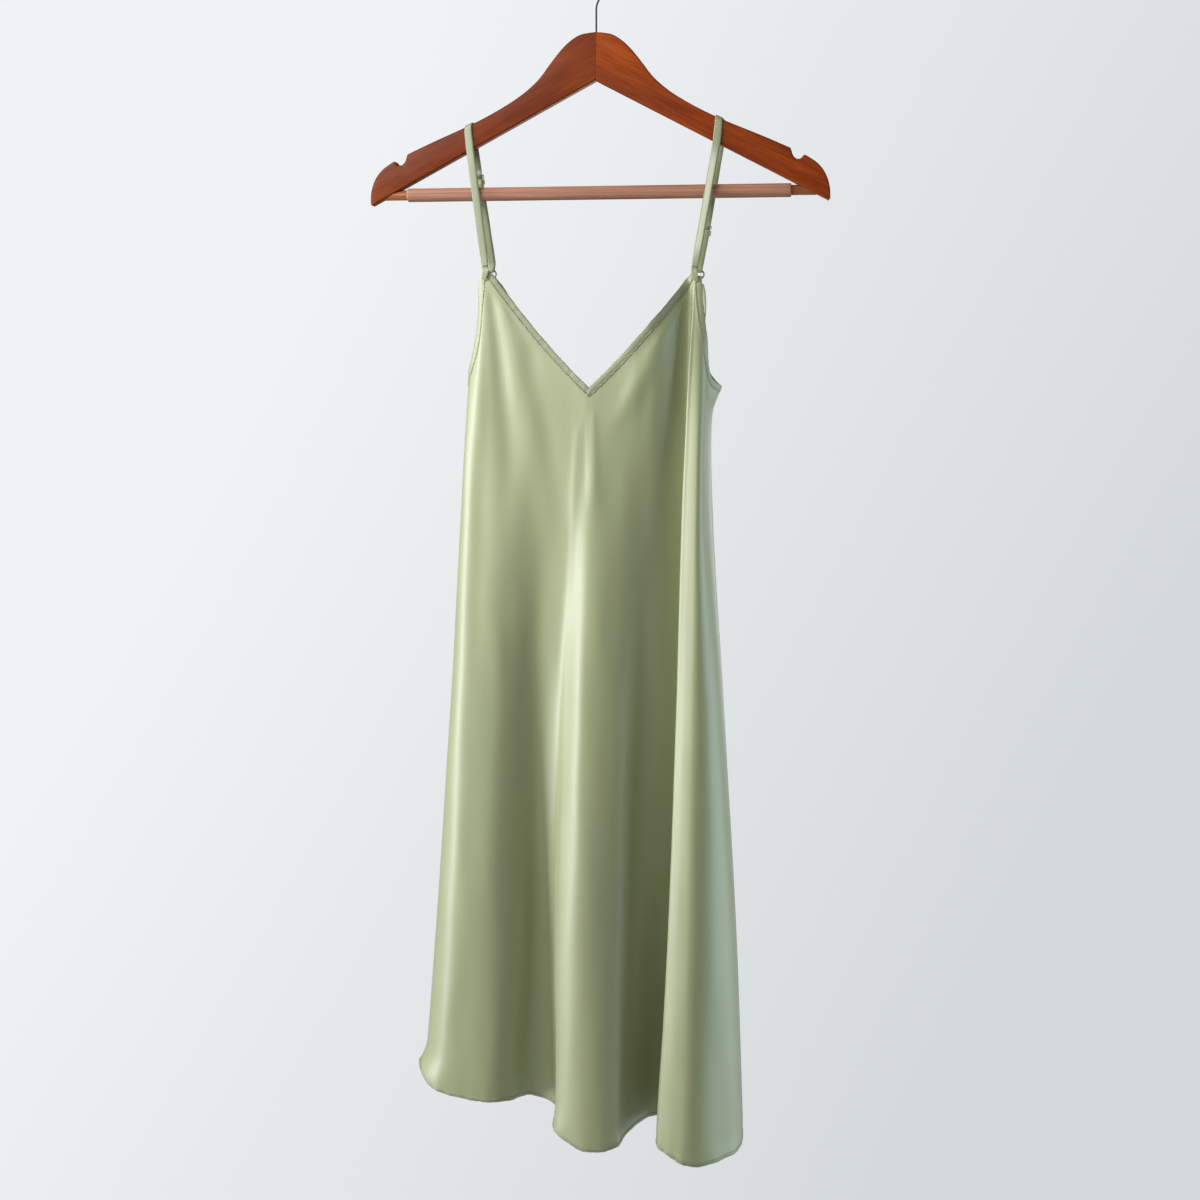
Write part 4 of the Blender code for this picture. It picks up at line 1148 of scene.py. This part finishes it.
def rounded(x_low, x_high, y_low, y_high, radius):
    """Rectangle with round corners, as a closed path."""
    path = []
    corners = ((x_high - radius, y_high - radius), (x_low + radius, y_high - radius),
               (x_low + radius, y_low + radius), (x_high - radius, y_low + radius))
    for quarter, (x, y) in enumerate(corners):
        for step in range(7):
            angle = math.radians(90 * quarter + 15 * step)
            path.append((x + radius * math.cos(angle), y + radius * math.sin(angle)))
    return path


def plate_mesh(name, paths, thick, rounding, matrix):
    """Flat plate from closed outlines, its rims rounded; holes are the inner outlines."""
    data = bpy.data.curves.new(name, "CURVE")
    data.dimensions = "2D"
    data.fill_mode = "BOTH"
    data.extrude = (0.5 * thick - rounding) * MM
    data.bevel_depth = rounding * MM
    data.offset = -rounding * MM
    data.bevel_resolution = 3
    for path in paths:
        line = data.splines.new("POLY")
        line.points.add(len(path) - 1)
        for point, (x, y) in zip(line.points, path):
            point.co = (x * MM, y * MM, 0.0, 1.0)
        line.use_cyclic_u = True
    helper = bpy.data.objects.new(name + "_outline", data)
    bpy.context.scene.collection.objects.link(helper)
    graph = bpy.context.evaluated_depsgraph_get()
    mesh = bpy.data.meshes.new_from_object(helper.evaluated_get(graph))
    bpy.data.objects.remove(helper, do_unlink=True)
    bpy.data.curves.remove(data)
    mesh.name = name
    face_outwards(mesh, lambda work: bmesh.ops.remove_doubles(
        work, verts=work.verts, dist=0.01 * MM))
    mesh.transform(matrix)
    mesh.materials.clear()
    return mesh


def slider_mesh(strap):
    """Figure-eight slider: an oblong plate with two slots, one over each side of its bar."""
    wide, tall = SLIDER_SIZE
    half = 0.5 * wide - SLIDER_RIM
    low, high = 0.5 * SLIDER_BAR, 0.5 * tall - SLIDER_RIM
    paths = (rounded(-wide / 2, wide / 2, -tall / 2, tall / 2, 1.3),
             rounded(-half, half, low, high, 0.5), rounded(-half, half, -high, -low, 0.5))
    _, _, down, outward, centre = back_leg(strap)
    up, out = Vector(-down), Vector(outward)
    basis = Matrix((up.cross(out).normalized(), up, out)).transposed()
    matrix = Matrix.Translation(Vector(centre) * MM) @ basis.to_4x4()
    return plate_mesh(f"adjuster_{strap['name']}", paths, SLIDER_PLATE, 0.3, matrix)


def ring_mesh(strap):
    """Round ring of wire at a back strap point."""
    turn = np.linspace(0.0, 2 * math.pi, 64, endpoint=False)
    radial = np.stack([np.cos(turn), 0 * turn, np.sin(turn)], axis=1)
    middle = np.array(strap["ring"]) + radial * RING_RADIUS
    along_axis = steady((0.0, 1.0, 0.0), middle)
    return sweep_mesh(f"strap_ring_{strap['name']}", middle, radial, along_axis,
                      circle(RING_WIRE, 16), closed=True)


class SLIPDRESS_OT_fit_hardware(bpy.types.Operator):
    """Figure-eight sliders and round rings of the straps"""

    bl_idname = "slipdress.fit_hardware"
    bl_label = "Fit sliders and rings"

    def execute(self, context):
        tone = tuple(context.scene.slip_trim.metal_tone)
        metal = known("strap_hardware", metal_material, tone, 0.34)
        wire = known("ring_wire", metal_material, tint(tone, 0.45), 0.4)
        for strap in STRAPS:
            label = strap["name"]
            mesh = slider_mesh(strap)
            add_object(mesh, metal, [f"slider_{label}"])
            mesh.set_sharp_from_angle(angle=math.radians(35))
            mesh = ring_mesh(strap)
            add_object(mesh, wire, [f"ring_{label}"])
        return {"FINISHED"}


# ---- Hem ---------------------------------------------------------------------------------
def hem_line(side, first, last, creases, step):
    """Hem points with in-cloth upward directions and outward normals."""
    u = dress.round(first, last, step)
    hem = dress.hem(u)
    points, _ = cloth_surface(u, hem, side, creases)
    higher, _ = cloth_surface(u, hem + 4.0, side, creases)
    along = unit(np.gradient(points, axis=0))
    up = higher - points
    up = unit(up - along * np.sum(up * along, axis=1, keepdims=True))
    return points, up, unit(np.cross(up, along))


class SLIPDRESS_OT_roll_hem(bpy.types.Operator):
    """Narrow hem, turned twice, along the front and the back"""

    bl_idname = "slipdress.roll_hem"
    bl_label = "Roll the hem"

    def execute(self, context):
        creases = context.scene.slip_satin.creases
        for _, _, side, first, last in PANELS:
            points, up, out = hem_line(side, first, last, creases, 1.5)
            run = run_of(points)
            profiles = repeated_section(HEM_SECTION, run)
            profiles[..., 0] *= ripple(run, HEM_SWELL, 1.0)[:, None]
            profiles[..., 1] += ripple(run, HEM_RISE)[:, None]
            mesh = sweep_mesh(f"hem_{side}", points, out, up, profiles)
            add_object(mesh, hem_satin())
        return {"FINISHED"}


# ---- Sewing ------------------------------------------------------------------------------
def hem_threads(wall, creases):
    """Lines along the hem on both faces of the cloth."""
    lines = []
    for _, _, side, first, last in PANELS:
        u = dress.round(first, last, 1.6)[2:-2]
        points, normals = cloth_surface(u, dress.hem(u) + HEM_STITCH, side, creases)
        lines.append((points + normals * 0.5 * wall, normals))
        lines.append((points - normals * 0.5 * wall, -normals))
    return lines


def band_threads(thick):
    """Lines in the channel and near the fold of each band, outside and inside."""
    lines = []
    for _, _, first, last in BANDS:
        edge, up, out = edge_line(first, last, BAND_STEP)
        profiles = band_profiles(run_of(edge), thick)
        for column, normals in ((1, out), (3, out), (7, out), (-2, -out), (-8, -out)):
            spot = profiles[:, column]
            points = edge + out * spot[:, :1] + up * spot[:, 1:]
            lines.append((points[1:-1], normals[1:-1]))
    return lines


def overlock_threads(thick):
    """Short upright stitches over the lower lips of the neck bands."""
    lines = []
    for _, _, first, last in BANDS[:2]:
        edge, up, out = edge_line(first, last, 1.9)
        for spot, rise, normal in zip(edge[2:-2], up[2:-2], out[2:-2]):
            for face in (-1, 1):
                foot = spot + normal * face * (0.5 * thick + 0.05)
                ends = np.array([foot - rise * 0.5, foot + rise * 0.9])
                lines.append((ends, np.repeat(normal[None] * face, 2, axis=0)))
    return lines


def strap_threads(thick):
    """Lines beside both edges of each strap, on both of its faces."""
    lines = []
    for strap in STRAPS:
        middle, across, out, width = strap_line(strap)
        for edge in (-1, 1):
            for face in (-1, 1):
                rim = across * (0.5 * width - 0.9)[:, None] * edge
                crown = STRAP_CROWN * (1 - (1 - 1.8 / width) ** 2)
                lift = out * (crown + face * 0.47 * thick)[:, None]
                lines.append((middle + rim + lift, out * face))
    return lines


def tack_and_shadow_threads():
    """Two rows of close stitches across the foot of each strap; their dark thread also paints the
    shadow line at the strap's end.
    """
    lines = []
    for strap in STRAPS:
        middle, across, out, width = strap_line(strap)
        at = np.searchsorted(middle[:40, 2], strap["apex"][1] + 5.6)  # on its first rise
        for shift in (0.0, 0.5):
            ends = np.linspace(-0.46, 0.46, 12)[:, None] * width[at]
            lift = 0.5 + STRAP_CROWN * (1 - (2 * ends / width[at]) ** 2)
            line = middle[at] + across[at] * ends + out[at] * lift + (0.0, 0.0, shift)
            lines.append((line, np.repeat(out[at][None], len(line), axis=0)))
    return lines


class SLIPDRESS_OT_sew_stitches(bpy.types.Operator):
    """Thread stitches of the hem, the bindings and the straps"""

    bl_idname = "slipdress.sew_stitches"
    bl_label = "Sew the stitches"

    def execute(self, context):
        s, t = context.scene.slip_satin, context.scene.slip_trim
        band, strap = t.band_thickness / MM, t.strap_thickness / MM
        dash, pitch = t.dash / MM, t.pitch / MM
        seams = (
            # name, lines, length of a dash, pitch, radius of the thread, finish
            ("hem_stitching", hem_threads(s.wall / MM, s.creases), dash, pitch, 0.22, "satin"),
            ("band_stitching", band_threads(band), dash, pitch, 0.17, "binding"),
            ("neck_overlock", overlock_threads(band), 1.2, 0.5, 0.13, "binding"),
            ("strap_stitching", strap_threads(strap), dash, pitch, 0.16, "binding"),
            # bar tacks: dark thread that also paints the shadow line at each strap's end
            ("bar_tacks", tack_and_shadow_threads(), 1.1, 0.9, 0.26, "binding"))
        for name, lines, length, spacing, radius, finish in seams:
            mesh = stitch_mesh(name, lines, length, spacing, radius)
            add_object(mesh, thread())
        return {"FINISHED"}


# ---- Hanger --------------------------------------------------------------------------------
def smooth_outline(points, parts):
    """Curve through outline points, cut into equal parts between each two."""
    points = np.asarray(points, float)
    run = run_of(points)
    at = np.interp(np.arange((len(points) - 1) * parts + 1) / parts, np.arange(len(points)), run)
    return spline(run, points, at)


def inset(outline, amount):
    """Closed outline moved inwards by up to an amount, less where its corners are tight."""
    before, after = np.roll(outline, 1, axis=0), np.roll(outline, -1, axis=0)
    a, b = outline - before, after - outline
    la, lb = np.linalg.norm(a, axis=1), np.linalg.norm(b, axis=1)
    a, b = a / la[:, None], b / lb[:, None]
    na, nb = (np.stack([v[:, 1], -v[:, 0]], axis=1) for v in (a, b))
    dot = np.clip(np.sum(a * b, axis=1), -0.99, 1.0)
    mitre = (na + nb) / (1.0 + dot)[:, None]
    half_turn = np.sqrt((1 - dot) / (1 + dot))
    limit = 0.45 * np.minimum(la, lb) / np.maximum(half_turn, 1e-6)
    return outline + mitre * np.minimum(amount, limit)[:, None]


def arm_mesh(name, side):
    """One flat arm with rounded rims, from the mitre to its tip."""
    upper = smooth_outline(SHOULDER, 3)
    notch = smooth_outline((SHOULDER[-1],) + NOTCH + TIP[:1], 3)[1:-1]
    tip = smooth_outline(TIP, 3)
    under = np.linspace(TIP[-1], (0.0, CROTCH), 40)[1:]
    half = np.concatenate([upper, notch, tip, under])
    full = np.concatenate([half, half[-2:0:-1] * (-1, 1)])
    rim = []
    for k in range(7):
        a = math.radians(15 * k)
        flat = inset(full, ARM_ROUND * (1 - math.cos(a)))[:len(half)]
        rim.append((flat, 0.5 * ARM_THICK - ARM_ROUND + ARM_ROUND * math.sin(a)))
    layers = [(flat, -depth) for flat, depth in rim[::-1]] + rim
    verts = []
    for flat, depth in layers:
        x = np.maximum(flat[:, 0], MITRE_GAP)
        verts.append(np.stack([side * x, np.full(len(x), depth), flat[:, 1]], axis=1))
    faces = grid_faces(len(layers), len(half), ring=True) + end_caps(len(layers), len(half))
    mesh = make_mesh(name, np.concatenate(verts), faces)
    face_outwards(mesh, lambda work: bmesh.ops.triangulate(
        work, faces=[face for face in work.faces if len(face.verts) > 4]))
    return mesh


class SLIPDRESS_OT_shape_hanger(bpy.types.Operator):
    """Stained wooden arms, mitred at the centre, with their strap notches"""

    bl_idname = "slipdress.shape_hanger"
    bl_label = "Shape the hanger"

    def execute(self, context):
        h = context.scene.slip_hanger
        tones = (tuple(h.wood_dark), tuple(h.wood_tone), tuple(h.wood_light))
        for label, side in SIDES:
            fall = math.radians(GRAIN_FALL) * side
            # Painted light: the right arm gets a lighter copy of the same stain.
            board = [tint(tone, 1.0 if side < 0 else h.right_arm_painted_light) for tone in tones]
            wood = known(f"stained_wood_{label}", wood_material, board, 0.46, fall, 0.03)
            mesh = arm_mesh(f"hanger_wood_{label}", side)
            add_object(mesh, wood, [f"hanger_arm_{label}"])
            mesh.set_sharp_from_angle(angle=math.radians(50))
        return {"FINISHED"}


BAR_Z = -234.6
BAR_RADIUS = 4.8
SLEEVE_RADIUS = 6.28         # middle of its ribs
SLEEVE_RIBS = 32
RIB_HEIGHT = 0.14


def turned_mesh(name, end_x, end_cuts, stations, section, radius):
    """Round piece along the bar's line, its ends rounded by cuts at their last places."""
    ends = np.array(end_x)
    x = np.concatenate([-ends, stations, ends[::-1]])
    cuts = np.array([*end_cuts, *[0.0] * len(stations), *end_cuts[::-1]])
    middle = np.stack([x, 0 * x, 0 * x + BAR_Z], axis=1)
    profiles = section[None] * (radius - cuts[:, None, None])
    across, up = steady((0.0, 1.0, 0.0), x), steady((0.0, 0.0, 1.0), x)
    return sweep_mesh(name, middle, across, up, profiles)


class SLIPDRESS_OT_turn_bar(bpy.types.Operator):
    """Turned trouser bar and its ribbed non-slip sleeve"""

    bl_idname = "slipdress.turn_bar"
    bl_label = "Turn the bar"

    def execute(self, context):
        h = context.scene.slip_hanger
        tone = tuple(h.bar_tone)
        tones = (tint(tone, 0.7), tone, tint(tone, 1.25))
        wood = known("turned_wood", wood_material, tones, 0.45, 0.0, 0.25)
        mesh = turned_mesh(
            "bar_wood", (211.0, 210.4, 209.4), (0.9, 0.35, 0.0), np.linspace(-200, 200, 81),
            circle(1.0, 40), BAR_RADIUS)
        add_object(mesh, wood, ["trouser_bar"])

        tone = tuple(h.sleeve_tone)
        rubber = known("ribbed_sleeve", sleeve_material, tone, tint(tone, 0.7), 0.5)
        turn = np.linspace(0.0, 2 * math.pi, 192, endpoint=False)
        ribbed = SLEEVE_RADIUS + RIB_HEIGHT * np.cos(turn * SLEEVE_RIBS)
        mesh = turned_mesh(
            "bar_grip", (186.0, 185.5, 184.6), (0.55, 0.12, 0.0), np.linspace(-180, 180, 61),
            circle(1.0, 192), ribbed[None, :, None])
        add_object(mesh, rubber, ["bar_sleeve"])
        return {"FINISHED"}


WIRE_RADIUS = 0.9
STEM_TOP = -66.0             # where the straight stem starts to lean to the hook
HOOK_START = -52.0           # the hook's arc, in degrees
HOOK_SWEEP = 252.0


class SLIPDRESS_OT_bend_hook(bpy.types.Operator):
    """Wire stem and round hook"""

    bl_idname = "slipdress.bend_hook"
    bl_label = "Bend the hook"

    def execute(self, context):
        h = context.scene.slip_hanger
        steel = known("hook_wire", wire_material, tuple(h.wire_tone), 0.32)
        radius = HOOK_INNER + WIRE_RADIUS
        start = math.radians(HOOK_START)
        join = (radius * math.cos(start), -HOOK_INNER + radius * math.sin(start))
        path = [(0.0, z) for z in (STEM_FOOT, -100.0, -86.0, -78.0, -72.0, STEM_TOP)]
        for k in range(1, 8):
            t = k / 8
            path.append((join[0] * smooth_step(t), STEM_TOP + (join[1] - STEM_TOP) * t))
        for k in range(49):
            a = start + math.radians(HOOK_SWEEP) * k / 48
            path.append((radius * math.cos(a), -HOOK_INNER + radius * math.sin(a)))
        x, z = path[-1]
        path += [(x - 0.4, z - 5.0), (x - 2.4, z - 9.0)]
        line, _ = resample([(x, 0.0, z) for x, z in path], np.zeros((len(path), 1)), 1.0, 2)
        side = steady((0.0, 1.0, 0.0), line)
        size = np.full(len(line), WIRE_RADIUS)
        size[-3:] = (0.86, 0.7, 0.35)  # the wire's rounded tip
        profiles = circle(1.0, 20)[None] * size[:, None, None]
        up = np.cross(unit(np.gradient(line, axis=0)), side)
        mesh = sweep_mesh("hanger_hook", line, side, up, profiles)
        add_object(mesh, steel, ["hook"])
        return {"FINISHED"}


# ---- Stage ---------------------------------------------------------------------------------
LIGHTS = (
    # name, power setting, place, aim, size, colour
    ("key_light", "key", (-2.2, -0.66, -0.66), (0.0, 0.0, -0.8), (0.7, 2.3), (0.94, 0.95, 1.0)),
    ("fill_light", "fill", (2.1, 0.24, -1.1), (0.0, 0.0, -0.9), (2.0, 2.2), (0.76, 0.91, 1.0)),
    ("top_light", "top", (-0.65, -0.8, 0.12), (0.0, 0.0, -0.42), (0.7, 0.5), (1.0, 1.0, 0.98)),
    ("back_light", "back", (0.5, 2.2, -0.5), (0.0, 0.0, -0.8), (1.4, 1.6), (0.95, 0.98, 1.0)),
)
# Painted light on the backdrop: lighter at the upper left, darker to the right and down, as light from
# the left falls on a wall.
BACKDROP_SLOPE = (1.5, 0.0, -0.75)  # how fast the backdrop darkens to the right and down
BACKDROP_LEVEL = 0.52
FLOOR_Z = -1.9
CAMERA_PLACE = (0.2123, -1.4854, -0.3789)
CAMERA_DIP = 9.5605          # degrees below level
CAMERA_TURN = 8.0            # degrees to the left


def area_light(name, place_at, aim, size, power, color):
    data = bpy.data.lights.new(name, "AREA")
    data.shape = "RECTANGLE"
    data.size, data.size_y = size
    data.energy = power
    data.color = color
    lamp = bpy.data.objects.new(name, data)
    lamp.location = place_at
    lamp.visible_camera = False
    lamp.rotation_euler = (Vector(aim) - Vector(place_at)).to_track_quat("-Z", "Y").to_euler()
    bpy.context.scene.collection.objects.link(lamp)


def build_world(s):
    """Pale backdrop for the camera; a dimmer, even light for everything else."""
    world = bpy.data.worlds.new("studio")
    bpy.context.scene.world = world
    world.use_nodes = True
    tree = world.node_tree
    tree.nodes.clear()
    out = tree.nodes.new("ShaderNodeOutputWorld")
    source = tree.nodes.new("ShaderNodeTexCoord")
    slope = tree.nodes.new("ShaderNodeVectorMath")
    slope.operation = "DOT_PRODUCT"
    slope.inputs[1].default_value = BACKDROP_SLOPE
    tree.links.new(source.outputs["Generated"], slope.inputs[0])
    shift = tree.nodes.new("ShaderNodeMath")
    shift.operation = "ADD"
    shift.inputs[1].default_value = BACKDROP_LEVEL
    tree.links.new(slope.outputs["Value"], shift.inputs[0])
    tones = ramp(tree, shift.outputs["Value"], (
        (0.0, tuple(s.backdrop_light)), (1.0, tuple(s.backdrop_dark))))
    seen = tree.nodes.new("ShaderNodeBackground")
    tree.links.new(tones, seen.inputs["Color"])
    around = tree.nodes.new("ShaderNodeBackground")
    around.inputs["Color"].default_value = (1.0, 1.0, 0.97, 1.0)
    around.inputs["Strength"].default_value = s.ambient
    rays = tree.nodes.new("ShaderNodeLightPath")
    choice = tree.nodes.new("ShaderNodeMixShader")
    tree.links.new(rays.outputs["Is Camera Ray"], choice.inputs["Fac"])
    tree.links.new(around.outputs["Background"], choice.inputs[1])
    tree.links.new(seen.outputs["Background"], choice.inputs[2])
    tree.links.new(choice.outputs["Shader"], out.inputs["Surface"])


def lay_floor(tone):
    """Round pale floor under the dress."""
    floor_mat, tree, shader = new_material("pale_floor", tone, 0.8)
    specks = noise(tree, coordinates(tree, False, (1.0, 1.0, 1.0)), scale=60.0, detail=3.0)
    worn = ramp(tree, specks, ((0.3, tint(tone, 0.98)), (0.7, tone)))
    tree.links.new(worn, shader.inputs["Base Color"])
    disc = bmesh.new()
    bmesh.ops.create_circle(disc, cap_ends=True, segments=96, radius=0.9)
    mesh = bpy.data.meshes.new("floor")
    disc.to_mesh(mesh)
    disc.free()
    mesh.materials.append(floor_mat)
    floor = bpy.data.objects.new("floor", mesh)
    floor.location = (0.0, 0.0, FLOOR_Z)
    bpy.context.scene.collection.objects.link(floor)


def set_camera(lens):
    data = bpy.data.cameras.new("camera")
    data.lens = lens
    data.sensor_width = 36.0
    data.clip_start = 0.05
    camera = bpy.data.objects.new("camera", data)
    camera.location = CAMERA_PLACE
    camera.rotation_euler = (math.radians(90.0 - CAMERA_DIP), 0.0, math.radians(CAMERA_TURN))
    bpy.context.scene.collection.objects.link(camera)
    bpy.context.scene.camera = camera


class SLIPDRESS_OT_set_studio(bpy.types.Operator):
    """Pale floor and backdrop, soft lights and the camera"""

    bl_idname = "slipdress.set_studio"
    bl_label = "Set the studio"

    def execute(self, context):
        s = context.scene.slip_studio
        build_world(s)
        context.scene.view_settings.view_transform = "Standard"
        lay_floor(tuple(s.floor_tone))
        for name, power, spot, aim, size, color in LIGHTS:
            area_light(name, spot, aim, size, getattr(s, power), color)
        set_camera(s.lens)
        return {"FINISHED"}


# ---- Panel and registration --------------------------------------------------------------------
OPERATORS = (
    SLIPDRESS_OT_cut_panels, SLIPDRESS_OT_bind_edges, SLIPDRESS_OT_thread_straps,
    SLIPDRESS_OT_fit_hardware, SLIPDRESS_OT_roll_hem, SLIPDRESS_OT_sew_stitches,
    SLIPDRESS_OT_shape_hanger, SLIPDRESS_OT_turn_bar, SLIPDRESS_OT_bend_hook,
    SLIPDRESS_OT_set_studio)
GROUPS = (
    ("slip_satin", SlipSatin), ("slip_trim", SlipTrim), ("slip_hanger", SlipHanger),
    ("slip_studio", SlipStudio))


class SLIPDRESS_PT_finish(bpy.types.Panel):
    """Sizes, colours and steps of the slip dress"""

    bl_label = "Slip dress"
    bl_idname = "SLIPDRESS_PT_finish"
    bl_space_type = "VIEW_3D"
    bl_region_type = "UI"
    bl_category = "Slip dress"

    def draw(self, context):
        for name, group in GROUPS:
            box = self.layout.box()
            values = getattr(context.scene, name)
            for key in group.__annotations__:
                box.prop(values, key)
        for operator in OPERATORS:
            self.layout.operator(operator.bl_idname)


def register():
    for name, group in GROUPS:
        bpy.utils.register_class(group)
        setattr(bpy.types.Scene, name, bpy.props.PointerProperty(type=group))
    for item in OPERATORS + (SLIPDRESS_PT_finish,):
        bpy.utils.register_class(item)


def unregister():
    for item in reversed(OPERATORS + (SLIPDRESS_PT_finish,)):
        bpy.utils.unregister_class(item)
    for name, group in reversed(GROUPS):
        delattr(bpy.types.Scene, name)
        bpy.utils.unregister_class(group)


def main():
    register()
    bpy.ops.slipdress.cut_panels()
    bpy.ops.slipdress.bind_edges()
    bpy.ops.slipdress.thread_straps()
    bpy.ops.slipdress.fit_hardware()
    bpy.ops.slipdress.roll_hem()
    bpy.ops.slipdress.sew_stitches()
    bpy.ops.slipdress.shape_hanger()
    bpy.ops.slipdress.turn_bar()
    bpy.ops.slipdress.bend_hook()
    bpy.ops.slipdress.set_studio()


if __name__ == "__main__":
    main()
